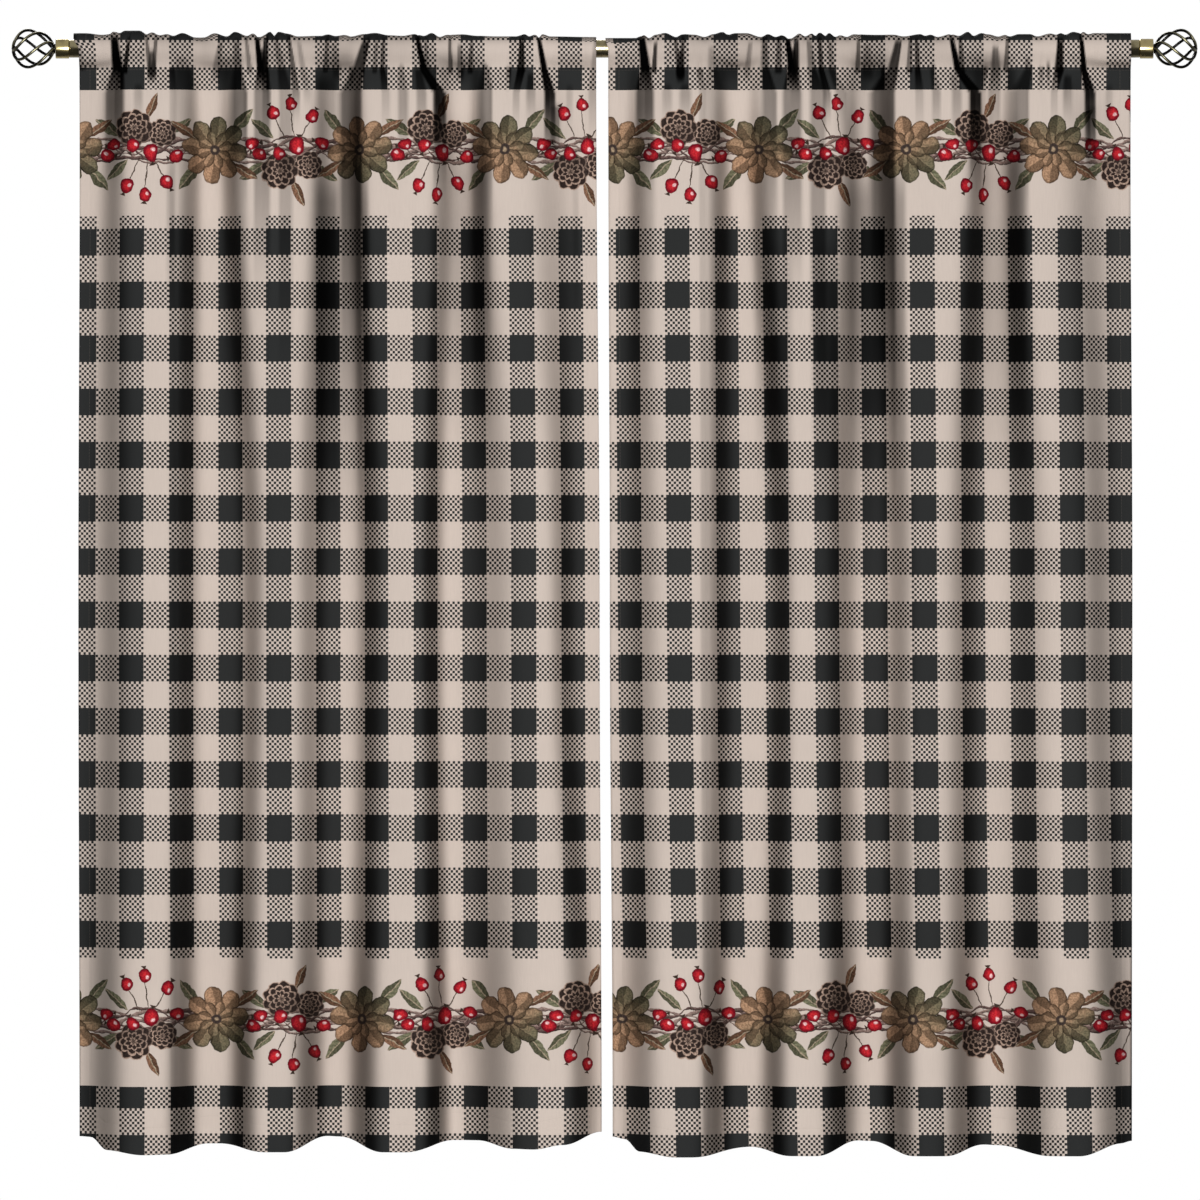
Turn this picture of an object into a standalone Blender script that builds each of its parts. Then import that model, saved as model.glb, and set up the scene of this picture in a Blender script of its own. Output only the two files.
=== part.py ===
"""A pair of rod-pocket cafe curtain panels, gathered on a brass rod with twisted wire finials.

Metres. +X runs along the rod, -Y is the room side and +Z is up. The origin is the middle
of the rod's axis.
"""
import math

import bmesh
import bpy
from mathutils import Matrix, Vector

# Rod, collars and finials
ROD_RADIUS = 0.008
ROD_HALF_LENGTH = 0.476
COLLAR_LENGTH = 0.0125
COLLAR_RADIUS = 0.0088
COLLAR_EDGE = 0.0006
FITTED_GAP = 0.0003
CAGE_LENGTH = 0.0390
CAGE_RADIUS = 0.0185
CAGE_WIRES = 6
CAGE_WIRE_RADIUS = 0.0011
CAGE_TWIST = math.radians(145.0)
CAGE_START = math.radians(9.5)
CAGE_FULLNESS = 0.15
CAGE_STEPS = 11
CAGE_POLE = math.radians(7.5)
HUB_RADIUS = 0.0044
HUB_LENGTH = 0.0034
HUB_STRAIGHT_SHARE = 0.4
HUB_END_SHARE = 0.6
TIP_RADIUS = 0.0027

# Cloth
CLOTH_THICKNESS = 0.0012
PANEL_WIDTH = 0.462
PANEL_GAP = 0.0095
COLUMNS = 66
SHORTEST_DROP = 0.9645
HEM_RISE_START = 0.925

# Pocket: the seam below the rod, the cloth's line round the rod, and how much further the
# gathers stand off in front of the rod than above it
SEAM_DROP = 0.0190
POCKET_CLEARANCE = 0.0007
POCKET_RADIUS = ROD_RADIUS + POCKET_CLEARANCE + CLOTH_THICKNESS / 2
POCKET_BULGE = 1.2
POCKET_STEPS = 8
BACK_SLACKNESS = 0.45
TANGENT_SHARE = 0.55
PUFF_SQUARENESS = 3.0
CORNER_REACH = 0.024
CORNER_FREE_ABOVE = -0.2 * POCKET_RADIUS
LEFT_CORNER_PULL = 0.005
RIGHT_CORNER_PULL = 0.0025

# Folds: half their depth, how steep a flank is for its width, the share of the depth that
# the heading holds back, over which drop they open, and how much more they open at the foot
FOLD_DEPTH = 0.028
FLANK_STEEPNESS = 3.2
HELD_BACK = 0.75
OPENING_DROP = 0.08
OPENED_AT_FOOT = 0.3
FOOT_OPENS_FROM = 0.55
GATHERS_END = 0.24

# Heights of the cloth's rows below the rod's axis, closer together where the gathers are
ROW_DROPS = (0.025, 0.034, 0.047, 0.067, 0.100, 0.150, 0.230, 0.350, 0.500, 0.650, 0.790, HEM_RISE_START)

# The depth of the cloth at a panel's left edge, 1 towards the room and -1 towards the
# window, then one row for each flank of the main folds, where the cloth turns from a trough
# to a crest or back: its middle from the panel's left edge at the heading, half way down and
# at the hem (mm), its width at the heading and at the hem (mm), and the depth of what
# follows to its right
LEFT_START = -0.85
LEFT_FLANKS = (
    # head,  middle, hem,   wide, wide,  depth
    (30.0,   30.0,   22.0,  18.0, 46.0,   1.00),
    (100.0,  96.0,   91.0,  22.0, 30.0,  -0.80),
    (134.0,  154.0,  145.0, 24.0, 30.0,   0.85),
    (216.0,  207.0,  203.0, 26.0, 32.0,  -1.00),
    (247.0,  258.0,  251.0, 20.0, 32.0,   0.90),
    (327.0,  314.0,  317.0, 26.0, 24.0,  -0.85),
    (356.0,  367.0,  366.0, 20.0, 28.0,   0.95),
    (420.0,  432.0,  447.0, 38.0, 28.0,  -0.80),
)
RIGHT_START = -0.80
RIGHT_FLANKS = (
    (25.0,   28.0,   23.0,  24.0, 42.0,   1.00),
    (99.0,   96.0,   91.0,  22.0, 30.0,  -0.75),
    (130.0,  152.0,  143.0, 24.0, 28.0,   0.80),
    (214.0,  205.0,  203.0, 26.0, 36.0,  -1.00),
    (245.0,  255.0,  255.0, 20.0, 32.0,   0.95),
    (327.0,  313.0,  311.0, 24.0, 28.0,  -0.80),
    (355.0,  369.0,  372.0, 20.0, 30.0,   1.00),
    (421.0,  431.0,  447.0, 38.0, 28.0,  -0.80),
)

# How far the hem hangs below the rod's axis at points across the panel (mm, mm)
LEFT_HEM = (
    (0.0, 968.5), (10.0, 969.0), (25.0, 979.5), (57.0, 983.5), (79.0, 983.0), (114.0, 975.0),
    (124.0, 975.0), (165.0, 981.2), (182.0, 981.1), (219.0, 968.6), (230.0, 969.0),
    (269.0, 981.2), (289.0, 980.9), (331.0, 972.3), (353.0, 972.2), (384.0, 978.3),
    (402.0, 978.4), (428.0, 974.9), (462.0, 964.5),
)
RIGHT_HEM = (
    (0.0, 969.1), (11.0, 971.0), (24.0, 981.0), (56.0, 985.5), (70.0, 985.4), (123.0, 978.1),
    (158.0, 984.6), (181.0, 984.4), (218.0, 972.9), (230.0, 973.2), (267.0, 984.4),
    (296.0, 984.4), (330.0, 976.4), (342.0, 976.6), (388.0, 984.4), (414.0, 984.5),
    (452.0, 974.3), (462.0, 972.3),
)

# How far a panel's left and right edges hang off plumb at the heading, half way and at the
# hem (mm)
LEFT_DRIFTS = ((-0.6, -2.0, -1.0), (-2.6, 0.4, 2.1))
RIGHT_DRIFTS = ((-1.4, 0.0, 2.6), (1.6, 3.6, 3.0))

# One row for each gather of the heading: where its left crease lies (mm from the panel's
# left edge), and how far the gather stands off above the rod (mm)
LEFT_GATHERS = (
    (0.0, 3.4), (32.0, 4.2), (61.0, 3.2), (94.0, 3.2), (146.0, 3.6), (188.0, 2.8),
    (222.0, 3.0), (250.0, 3.6), (301.0, 3.4), (333.0, 2.6), (370.0, 3.0), (413.0, 2.6),
    (462.0, 0.0),
)
RIGHT_GATHERS = (
    (0.0, 2.6), (31.0, 3.8), (65.0, 3.2), (92.0, 3.6), (127.0, 3.6), (163.0, 3.8),
    (190.0, 3.2), (223.0, 2.8), (256.0, 3.4), (302.0, 3.6), (335.0, 2.8), (388.0, 3.4),
    (418.0, 3.2), (462.0, 0.0),
)

# Colours: base colour, metallic, roughness
CLOTH_LOOK = ((0.42, 0.36, 0.31), 0.0, 0.85)
ROD_LOOK = ((0.42, 0.34, 0.16), 1.0, 0.32)
CAGE_LOOK = ((0.10, 0.085, 0.05), 1.0, 0.42)


def clear_scene():
    """Remove every object that the file opened with."""
    for thing in list(bpy.data.objects):
        bpy.data.objects.remove(thing, do_unlink=True)


def make_collection(name):
    """Make a collection in the scene."""
    collection = bpy.data.collections.new(name)
    bpy.context.scene.collection.children.link(collection)
    return collection


def make_material(name, look):
    """Make a Principled material from a base colour, a metallic value and a roughness."""
    colour, metallic, roughness = look
    material = bpy.data.materials.new(name)
    material.use_nodes = True
    shader = material.node_tree.nodes["Principled BSDF"]
    shader.inputs["Base Color"].default_value = (*colour, 1.0)
    shader.inputs["Metallic"].default_value = metallic
    shader.inputs["Roughness"].default_value = roughness
    return material


def place(collection, name, mesh, material, smooth_angle=math.radians(40.0)):
    """Link a mesh as a named object with its material, shaded smooth."""
    thing = bpy.data.objects.new(name, mesh)
    collection.objects.link(thing)
    mesh.materials.clear()
    mesh.materials.append(material)
    mesh.shade_smooth()
    mesh.set_sharp_from_angle(angle=smooth_angle)
    return thing


# ---------------------------------------------------------------- the cloth

def eased(start, end, value):
    """Go from 0 to 1 between start and end along half a cosine wave."""
    share = min(max((value - start) / (end - start), 0.0), 1.0)
    return 0.5 - 0.5 * math.cos(math.pi * share)


def bowed(head, middle, hem, share):
    """Go from head through middle, half way down, to hem, easing at each."""
    value = head + (middle - head) * eased(0.0, 0.5, share)
    return value + (hem - middle) * eased(0.5, 1.0, share)


def fold_depth(panel, share, across):
    """How far the folds stand towards the room, -1 to 1: each flank adds a soft step."""
    depth = before = panel["start"]
    for head, middle, hem, head_width, hem_width, after in panel["flanks"]:
        place_m = bowed(head, middle, hem, share) / 1000.0
        width = bowed(head_width, hem_width, hem_width, share) / 1000.0
        gone = 0.5 + 0.5 * math.tanh(FLANK_STEEPNESS * (across - place_m) / width)
        depth += (after - before) * gone
        before = after
    return depth


def side_drift(panel, share, across):
    """How far the cloth hangs off plumb, from the left edge's drift to the right edge's."""
    left, right = (bowed(*drifts, share) / 1000.0 for drifts in panel["drifts"])
    return left + (right - left) * across / PANEL_WIDTH


def gather_height(gathers, across):
    """How far the gathered heading stands off the rod: a rounded puff between two creases."""
    for (crease, puff), (next_crease, _) in zip(gathers, gathers[1:]):
        start = crease / 1000.0
        end = next_crease / 1000.0
        if start <= across <= end:
            side = abs(2.0 * (across - start) / (end - start) - 1.0)
            return puff / 1000.0 * (1.0 - side ** PUFF_SQUARENESS)
    return 0.0


def fold_growth(drop, share):
    """The share of its middle depth that a fold has at a height below the rod's axis."""
    growth = 1.0 - HELD_BACK * math.exp(-(drop - SEAM_DROP) / OPENING_DROP)
    return growth + OPENED_AT_FOOT * eased(FOOT_OPENS_FROM, 1.0, share)


def gather_fade(drop):
    """The share of its height that a gather keeps below the stitched seam."""
    return 1.0 - eased(SEAM_DROP, GATHERS_END, drop)


def hanging_point(panel, across, drop):
    """A point of the cloth below the pocket's seam, drop below the rod's axis."""
    share = (drop - SEAM_DROP) / (SHORTEST_DROP - SEAM_DROP)
    forward = FOLD_DEPTH * fold_growth(drop, share) * fold_depth(panel, share, across)
    forward += gather_height(panel["gathers"], across) * gather_fade(drop)
    return Vector((panel["left"] + across + side_drift(panel, share, across), -forward, -drop))


def hem_drop(panel, across):
    """The hem's drop below the rod's axis: half a cosine wave from each point to the next."""
    points = panel["hem"]
    drop = points[0][1]
    for (start, before), (end, after) in zip(points, points[1:]):
        drop += (after - before) * eased(start / 1000.0, end / 1000.0, across)
    return drop / 1000.0


def corner_pull(panel, across, height):
    """How far the pocket's left corner is drawn out along the rod, most at its top."""
    near_edge = 1.0 - eased(0.0, CORNER_REACH, across)
    return -panel["corner"] * near_edge * eased(CORNER_FREE_ABOVE, POCKET_RADIUS, height)


def pocket_points(panel, across):
    """The cloth round the rod in one column: up the front from the seam, over and down the back.

    The line is a drop shape: two tangents from the seam to a circle round the rod, joined
    by the arc over its top. The gathers push it outwards, most in front and least at the seam.
    """
    seam = hanging_point(panel, across, SEAM_DROP)
    reach = math.hypot(seam.y, seam.z)
    seam_turn = math.atan2(-seam.y, -seam.z)
    tangent_turn = math.acos(POCKET_RADIUS / reach)
    puff = gather_height(panel["gathers"], across)
    # Turns are measured about the rod from straight down towards the room
    first = seam_turn + tangent_turn
    last = seam_turn + 2.0 * math.pi - tangent_turn
    points = []
    for step in range(POCKET_STEPS + 1):
        turn = first + (last - first) * step / POCKET_STEPS
        outward = Vector((0.0, -math.sin(turn), -math.cos(turn)))
        bulge = 1.0 + POCKET_BULGE * max(math.sin(turn), 0.0) ** 2
        slackness = 1.0 - BACK_SLACKNESS * eased(0.5, 1.0, step / POCKET_STEPS)
        point = outward * (POCKET_RADIUS + puff * bulge * slackness)
        point.x = seam.x + corner_pull(panel, across, point.z)
        points.append(point)
    front_middle = seam.lerp(points[0], TANGENT_SHARE)
    back_middle = seam.lerp(points[-1], TANGENT_SHARE)
    return [front_middle] + points + [back_middle]


def sheet_mesh(name, panel):
    """The panel's cloth as one open surface: the hanging part, and the pocket that rejoins it.

    Each column runs up from the hem to the seam, round the rod and back to the seam, where
    three layers of faces meet along the stitching.
    """
    sheet = bmesh.new()
    columns = []
    for column in range(COLUMNS + 1):
        across = PANEL_WIDTH * column / COLUMNS
        hem = hem_drop(panel, across)
        drops = [hem, 0.5 * (hem + HEM_RISE_START)] + list(reversed(ROW_DROPS)) + [SEAM_DROP]
        points = [hanging_point(panel, across, drop) for drop in drops]
        seam_row = len(points) - 1
        points += pocket_points(panel, across)
        columns.append([sheet.verts.new(point) for point in points])
    rows = list(range(len(columns[0]))) + [seam_row]
    for here, there in zip(columns, columns[1:]):
        for low, high in zip(rows, rows[1:]):
            sheet.faces.new((here[low], there[low], there[high], here[high]))
    mesh = bpy.data.meshes.new(name)
    sheet.to_mesh(mesh)
    sheet.free()
    return mesh


def make_panel(collection, name, panel, material):
    """One curtain panel: the open sheet, thickened to cloth."""
    cloth = place(collection, name, sheet_mesh(name, panel), material)
    wall = cloth.modifiers.new("Cloth thickness", "SOLIDIFY")
    wall.solidify_mode = "NON_MANIFOLD"
    wall.nonmanifold_thickness_mode = "CONSTRAINTS"
    wall.nonmanifold_merge_threshold = 0.00001
    wall.thickness = CLOTH_THICKNESS
    wall.offset = 0.0
    return cloth


# ---------------------------------------------------------------- the rod and its ends

def make_rod(collection, material):
    """The plain round rod, lying along X."""
    bpy.ops.mesh.primitive_cylinder_add(vertices=32, radius=ROD_RADIUS, depth=2.0 * ROD_HALF_LENGTH)
    rod = bpy.context.object
    rod.data.transform(Matrix.Rotation(math.pi / 2.0, 4, "Y"))
    rod.name = "rod"
    for owner in list(rod.users_collection):
        owner.objects.unlink(rod)
    collection.objects.link(rod)
    rod.data.materials.append(material)
    rod.data.shade_smooth()
    rod.data.set_sharp_from_angle(angle=math.radians(40.0))
    return rod


def turned_mesh(name, profile, segments=24):
    """A closed turned mesh about X from (distance along X, radius) points, both ends on the axis."""
    outline = bmesh.new()
    points = [outline.verts.new((along, 0.0, radius)) for along, radius in profile]
    for first, second in zip(points, points[1:]):
        outline.edges.new((first, second))
    bmesh.ops.spin(
        outline,
        geom=outline.verts[:] + outline.edges[:],
        axis=(1.0, 0.0, 0.0),
        cent=(0.0, 0.0, 0.0),
        steps=segments,
        angle=2.0 * math.pi,
    )
    bmesh.ops.remove_doubles(outline, verts=outline.verts, dist=0.00001)
    bmesh.ops.recalc_face_normals(outline, faces=outline.faces)
    mesh = bpy.data.meshes.new(name)
    outline.to_mesh(mesh)
    outline.free()
    return mesh


def collar_profile():
    """The collar: a short plain sleeve with softened edges, closed across the rod's end."""
    start = ROD_HALF_LENGTH + FITTED_GAP
    end = ROD_HALF_LENGTH + COLLAR_LENGTH
    return (
        (start, 0.0),
        (start, COLLAR_RADIUS - COLLAR_EDGE),
        (start + COLLAR_EDGE, COLLAR_RADIUS),
        (end - COLLAR_EDGE, COLLAR_RADIUS),
        (end, COLLAR_RADIUS - COLLAR_EDGE),
        (end, 0.0),
    )


def hub_profile():
    """The small cone that the wires spring from, against the collar."""
    start = ROD_HALF_LENGTH + COLLAR_LENGTH + FITTED_GAP
    return (
        (start, 0.0),
        (start, HUB_RADIUS),
        (start + HUB_STRAIGHT_SHARE * HUB_LENGTH, HUB_RADIUS),
        (start + HUB_LENGTH, HUB_END_SHARE * HUB_RADIUS),
        (start + HUB_LENGTH, 0.0),
    )


def tip_profile():
    """The bead that closes the wires at the far end of the cage."""
    centre = ROD_HALF_LENGTH + COLLAR_LENGTH + FITTED_GAP + CAGE_LENGTH - TIP_RADIUS
    turns = [math.pi * step / 6 for step in range(7)]
    return tuple(
        (centre - TIP_RADIUS * math.cos(turn), TIP_RADIUS * math.sin(turn)) for turn in turns
    )


def wire_points(wire):
    """One twisted wire: a meridian of the cage that also turns about the rod's axis.

    The cage is a ball that is a little fuller towards its far end.
    """
    middle = ROD_HALF_LENGTH + COLLAR_LENGTH + FITTED_GAP + CAGE_LENGTH / 2.0
    half_length = CAGE_LENGTH / 2.0 - 0.5 * TIP_RADIUS
    points = []
    for step in range(CAGE_STEPS + 1):
        share = step / CAGE_STEPS
        meridian = CAGE_POLE + (math.pi - 2.0 * CAGE_POLE) * share
        turn = CAGE_START + 2.0 * math.pi * wire / CAGE_WIRES + CAGE_TWIST * (share - 0.5)
        fullness = 1.0 - CAGE_FULLNESS * math.cos(meridian)
        radius = (CAGE_RADIUS - CAGE_WIRE_RADIUS) * math.sin(meridian) * fullness
        along = middle - half_length * math.cos(meridian)
        points.append((along, -radius * math.cos(turn), -radius * math.sin(turn)))
    return points


def wire_mesh(collection, wire):
    """One wire of the cage as a closed tube."""
    curve = bpy.data.curves.new("wire", "CURVE")
    curve.dimensions = "3D"
    curve.bevel_depth = CAGE_WIRE_RADIUS
    curve.bevel_resolution = 1
    curve.use_fill_caps = True
    points = wire_points(wire)
    spline = curve.splines.new("POLY")
    spline.points.add(len(points) - 1)
    for point, place_m in zip(spline.points, points):
        point.co = (*place_m, 1.0)
    tube = bpy.data.objects.new("wire", curve)
    collection.objects.link(tube)
    bpy.context.view_layer.update()
    evaluated = tube.evaluated_get(bpy.context.evaluated_depsgraph_get())
    mesh = bpy.data.meshes.new_from_object(evaluated)
    bpy.data.objects.remove(tube)
    bpy.data.curves.remove(curve)
    welded = bmesh.new()
    welded.from_mesh(mesh)
    bmesh.ops.remove_doubles(welded, verts=welded.verts, dist=0.00001)
    bmesh.ops.recalc_face_normals(welded, faces=welded.faces)
    welded.to_mesh(mesh)
    welded.free()
    return mesh


def make_finial(collection, joined, name, side, material):
    """The finial: hub, six twisted wires and tip bead, united into one piece."""
    turn = Matrix.Identity(4) if side > 0 else Matrix.Scale(-1.0, 4, (1.0, 0.0, 0.0))
    finial = place(collection, name, turned_mesh(name, hub_profile(), 16), material)
    additions = [turned_mesh("tip", tip_profile(), 12)]
    additions += [wire_mesh(collection, wire) for wire in range(CAGE_WIRES)]
    for mesh in additions:
        piece = place(joined, name + "_joined_piece", mesh, material)
        piece.hide_render = True
        piece.display_type = "WIRE"
        union = finial.modifiers.new("Union", "BOOLEAN")
        union.operation = "UNION"
        union.object = piece
    bpy.context.view_layer.update()
    evaluated = finial.evaluated_get(bpy.context.evaluated_depsgraph_get())
    united = bpy.data.meshes.new_from_object(evaluated)
    finial.modifiers.clear()
    finial.data = united
    united.transform(turn)
    if side < 0:
        united.flip_normals()
    return finial


def make_collar(collection, name, side, material):
    """The collar between the rod's end and the finial."""
    mesh = turned_mesh(name, [(side * along, radius) for along, radius in collar_profile()])
    return place(collection, name, mesh, material)


def main():
    clear_scene()
    curtain = make_collection("Cafe curtain pair on a rod")
    joined = make_collection("Joined pieces")
    cloth = make_material("Printed cloth", CLOTH_LOOK)
    brass = make_material("Antique brass", ROD_LOOK)
    bronze = make_material("Dark bronze wire", CAGE_LOOK)

    left = {
        "left": -PANEL_GAP / 2.0 - PANEL_WIDTH,
        "start": LEFT_START,
        "flanks": LEFT_FLANKS,
        "gathers": LEFT_GATHERS,
        "hem": LEFT_HEM,
        "drifts": LEFT_DRIFTS,
        "corner": LEFT_CORNER_PULL,
    }
    right = {
        "left": PANEL_GAP / 2.0,
        "start": RIGHT_START,
        "flanks": RIGHT_FLANKS,
        "gathers": RIGHT_GATHERS,
        "hem": RIGHT_HEM,
        "drifts": RIGHT_DRIFTS,
        "corner": RIGHT_CORNER_PULL,
    }
    make_panel(curtain, "panel_left", left, cloth)
    make_panel(curtain, "panel_right", right, cloth)
    make_rod(curtain, brass)
    for name, side in (("left", -1.0), ("right", 1.0)):
        make_collar(curtain, "collar_" + name, side, brass)
        make_finial(curtain, joined, "finial_" + name, side, bronze)


main()
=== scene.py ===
"""A pair of printed cafe curtain panels on a brass rod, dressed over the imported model."""
import math

import bpy
import numpy as np
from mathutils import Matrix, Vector


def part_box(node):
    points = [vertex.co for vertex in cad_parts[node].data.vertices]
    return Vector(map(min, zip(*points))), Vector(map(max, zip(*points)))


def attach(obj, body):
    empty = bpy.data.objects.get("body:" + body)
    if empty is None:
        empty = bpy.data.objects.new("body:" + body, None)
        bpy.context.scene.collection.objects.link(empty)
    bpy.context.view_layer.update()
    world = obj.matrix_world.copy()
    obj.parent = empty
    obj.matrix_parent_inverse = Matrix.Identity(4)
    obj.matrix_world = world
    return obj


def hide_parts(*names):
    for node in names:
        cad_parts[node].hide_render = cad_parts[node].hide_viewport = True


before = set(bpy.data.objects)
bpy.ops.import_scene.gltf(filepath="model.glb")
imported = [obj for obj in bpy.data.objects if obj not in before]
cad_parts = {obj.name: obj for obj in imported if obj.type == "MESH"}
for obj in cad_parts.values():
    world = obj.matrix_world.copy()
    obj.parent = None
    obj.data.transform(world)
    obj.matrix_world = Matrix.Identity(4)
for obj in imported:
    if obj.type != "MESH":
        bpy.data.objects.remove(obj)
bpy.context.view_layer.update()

# ------------------------------------------------------------------ the rod
# A round steel tube of 16 mm, drawn, brass-plated and lightly antiqued. It is cut to
# length and polished along its axis, so its fine lines run along X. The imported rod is
# faceted, so a finer turned one stands for it.

ROD_LOW, ROD_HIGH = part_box("rod")
ROD_RADIUS = (ROD_HIGH[2] - ROD_LOW[2]) / 2.0
TURNED_SIDES = 72


def surface(name, points, faces):
    """Make a mesh object from an (n, 3) array of points and a list of (m, k) arrays of faces."""
    corners = np.concatenate([group.ravel() for group in faces]).astype(np.int32)
    sizes = np.concatenate([np.full(len(group), group.shape[1]) for group in faces])
    starts = np.concatenate(([0], np.cumsum(sizes)[:-1])).astype(np.int32)
    mesh = bpy.data.meshes.new(name)
    mesh.vertices.add(len(points))
    mesh.vertices.foreach_set("co", np.asarray(points, np.float32).ravel())
    mesh.loops.add(len(corners))
    mesh.loops.foreach_set("vertex_index", corners)
    mesh.polygons.add(len(sizes))
    mesh.polygons.foreach_set("loop_start", starts)
    mesh.update(calc_edges=True)
    mesh.shade_smooth()
    piece = bpy.data.objects.new(name, mesh)
    bpy.context.scene.collection.objects.link(piece)
    return piece


def walls_between(rings, sides):
    """The quads between each ring of points and the next."""
    here = np.arange(sides)
    after = (here + 1) % sides
    row = np.arange(rings - 1)[:, None] * sides
    walls = np.stack([row + here, row + after, row + sides + after, row + sides + here], axis=-1)
    return walls.reshape(-1, 4)


def turned(name, profile, sides=TURNED_SIDES):
    """Turn a profile about X: each (along, radius) point becomes a ring of radius about X.

    A point of the ring at turn a is (along, -radius sin a, radius cos a). The first and the
    last profile point lie on the axis and become one pole each.
    """
    along, radius = np.array(profile, float).T
    turn = np.linspace(0.0, 2.0 * np.pi, sides, endpoint=False)
    ring_x = np.repeat(along[1:-1, None], sides, axis=1)
    ring_y = -radius[1:-1, None] * np.sin(turn)
    ring_z = radius[1:-1, None] * np.cos(turn)
    rings = np.stack([ring_x, ring_y, ring_z], axis=-1).reshape(-1, 3)
    poles = np.array([[along[0], 0.0, 0.0], [along[-1], 0.0, 0.0]])
    here = np.arange(sides)
    after = (here + 1) % sides
    first_pole = len(rings)
    last_row = first_pole - sides
    first_cap = np.stack([np.full(sides, first_pole), after, here], axis=-1)
    last_cap = np.stack([np.full(sides, first_pole + 1), last_row + here, last_row + after], axis=-1)
    faces = [walls_between(len(along) - 2, sides), first_cap, last_cap]
    if along[-1] < along[0]:
        faces = [group[:, ::-1] for group in faces]
    return surface(name, np.concatenate([rings, poles]), faces)


class Value:
    """A value in a shader's tree. Sums, differences, products and quotients of it are nodes."""

    def __init__(self, tree, socket):
        self.tree = tree
        self.socket = socket

    def __add__(self, other):
        return maths("ADD", self, other)

    def __sub__(self, other):
        return maths("SUBTRACT", self, other)

    def __mul__(self, other):
        return maths("MULTIPLY", self, other)

    def __truediv__(self, other):
        return maths("DIVIDE", self, other)


def values_of(node):
    """All the values that a node puts out, by name."""
    return {socket.name: Value(node.id_data, socket) for socket in node.outputs}


def connect(node, inputs):
    """Link values to a node's inputs, or set numbers and colours there."""
    for socket, value in inputs.items():
        if isinstance(value, Value):
            node.id_data.links.new(value.socket, node.inputs[socket])
        else:
            node.inputs[socket].default_value = value


def add_node(tree, kind, inputs, output=0, **settings):
    """Add a shader node with its inputs and properties, and give one value that it puts out."""
    node = tree.nodes.new("ShaderNode" + kind)
    for setting, value in settings.items():
        setattr(node, setting, value)
    connect(node, inputs)
    return Value(tree, node.outputs[output])


def maths(operation, *values):
    """The result of a Math node. The first of its values is one in a tree."""
    return add_node(values[0].tree, "Math", dict(enumerate(values)), operation=operation)


def stepped(value, low, high, to_low=0.0, to_high=1.0):
    """Carry a value smoothly from to_low to to_high as it goes from low to high."""
    limits = {"Value": value, "From Min": low, "From Max": high, "To Min": to_low, "To Max": to_high}
    return add_node(value.tree, "MapRange", limits, "Result", interpolation_type="SMOOTHSTEP")


def blended(share, first, second):
    """Mix two colours, from the first at 0 to the second at 1."""
    tree = next(value.tree for value in (share, first, second) if isinstance(value, Value))
    return add_node(tree, "Mix", {0: share, 6: first, 7: second}, 2, data_type="RGBA")


def noise(place, scale, detail=2.0, roughness=0.5, output=0):
    """Lumps of noise about 0.5, as many to a metre as scale says."""
    inputs = {"Vector": place, "Scale": scale, "Detail": detail, "Roughness": roughness}
    return add_node(place.tree, "TexNoise", inputs, output)


def bumped(height, distance, strength, **under):
    """The normals of a relief of this height, over the surface or over another relief's Normal."""
    relief = {"Height": height, "Distance": distance, "Strength": strength, **under}
    return add_node(height.tree, "Bump", relief)


def new_group(name, inputs, outputs):
    """A shader node group with named sockets: its tree, its inputs' values and its output node."""
    tree = bpy.data.node_groups.new(name, "ShaderNodeTree")
    for socket, value in inputs.items():
        kind = {1: "Float", 3: "Vector", 4: "Color"}[np.size(value)]
        made = tree.interface.new_socket(socket, in_out="INPUT", socket_type="NodeSocket" + kind)
        made.default_value = value
    for socket, kind in outputs.items():
        tree.interface.new_socket(socket, in_out="OUTPUT", socket_type="NodeSocket" + kind)
    given = values_of(tree.nodes.new("NodeGroupInput"))
    return tree, given, tree.nodes.new("NodeGroupOutput")


def placed(tree, group, inputs):
    """Place a node group in a material or in another group, and give the values it puts out."""
    node = tree.nodes.new("ShaderNodeGroup")
    node.node_tree = group
    connect(node, inputs)
    return values_of(node)


def make_aged_metal():
    """Plated metal that has aged: cloudy patina, fine polishing lines along X, uneven gloss."""
    tree, given, result = new_group(
        "Aged metal",
        {
            "Metal": (0.8, 0.6, 0.3, 1.0),
            "Patina": (0.2, 0.15, 0.1, 1.0),
            "Patina share": 0.5,
            "Gloss": 0.3,
        },
        {"Colour": "Color", "Roughness": "Float", "Height": "Float"},
    )
    place = add_node(tree, "TexCoord", {}, "Object")
    cloud = noise(place, 70.0, 5.0, 0.62)
    lines = noise(add_node(tree, "Mapping", {"Vector": place, "Scale": (12.0, 1500.0, 1500.0)}), 1.0)
    patina = stepped(cloud, 0.38, 0.72) * given["Patina share"]
    connect(result, {
        "Colour": blended(patina, given["Metal"], given["Patina"]),
        "Roughness": patina * 0.25 + (lines * 0.12 + given["Gloss"]),
        "Height": cloud * 0.4 + lines,
    })
    return tree


aged_metal = make_aged_metal()
BRASS_PATINA = (0.12, 0.095, 0.05, 1.0)


def principled(name):
    """A new material with its Principled shader: (material, its tree, its shader)."""
    material = bpy.data.materials.new(name)
    material.use_nodes = True
    return material, material.node_tree, material.node_tree.nodes["Principled BSDF"]


def make_brass(name, metal, patina_share, gloss):
    """Antiqued brass plate."""
    material, tree, shader = principled(name)
    finish = {"Metal": metal, "Patina": BRASS_PATINA, "Patina share": patina_share, "Gloss": gloss}
    look = placed(tree, aged_metal, finish)
    connect(shader, {
        "Base Color": look["Colour"],
        "Roughness": look["Roughness"],
        "Metallic": 1.0,
        "Normal": bumped(look["Height"], 0.00004, 0.35),
    })
    return material


rod_brass = make_brass("Antique brass, rod", (0.50, 0.43, 0.25, 1.0), 0.85, 0.12)

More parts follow.
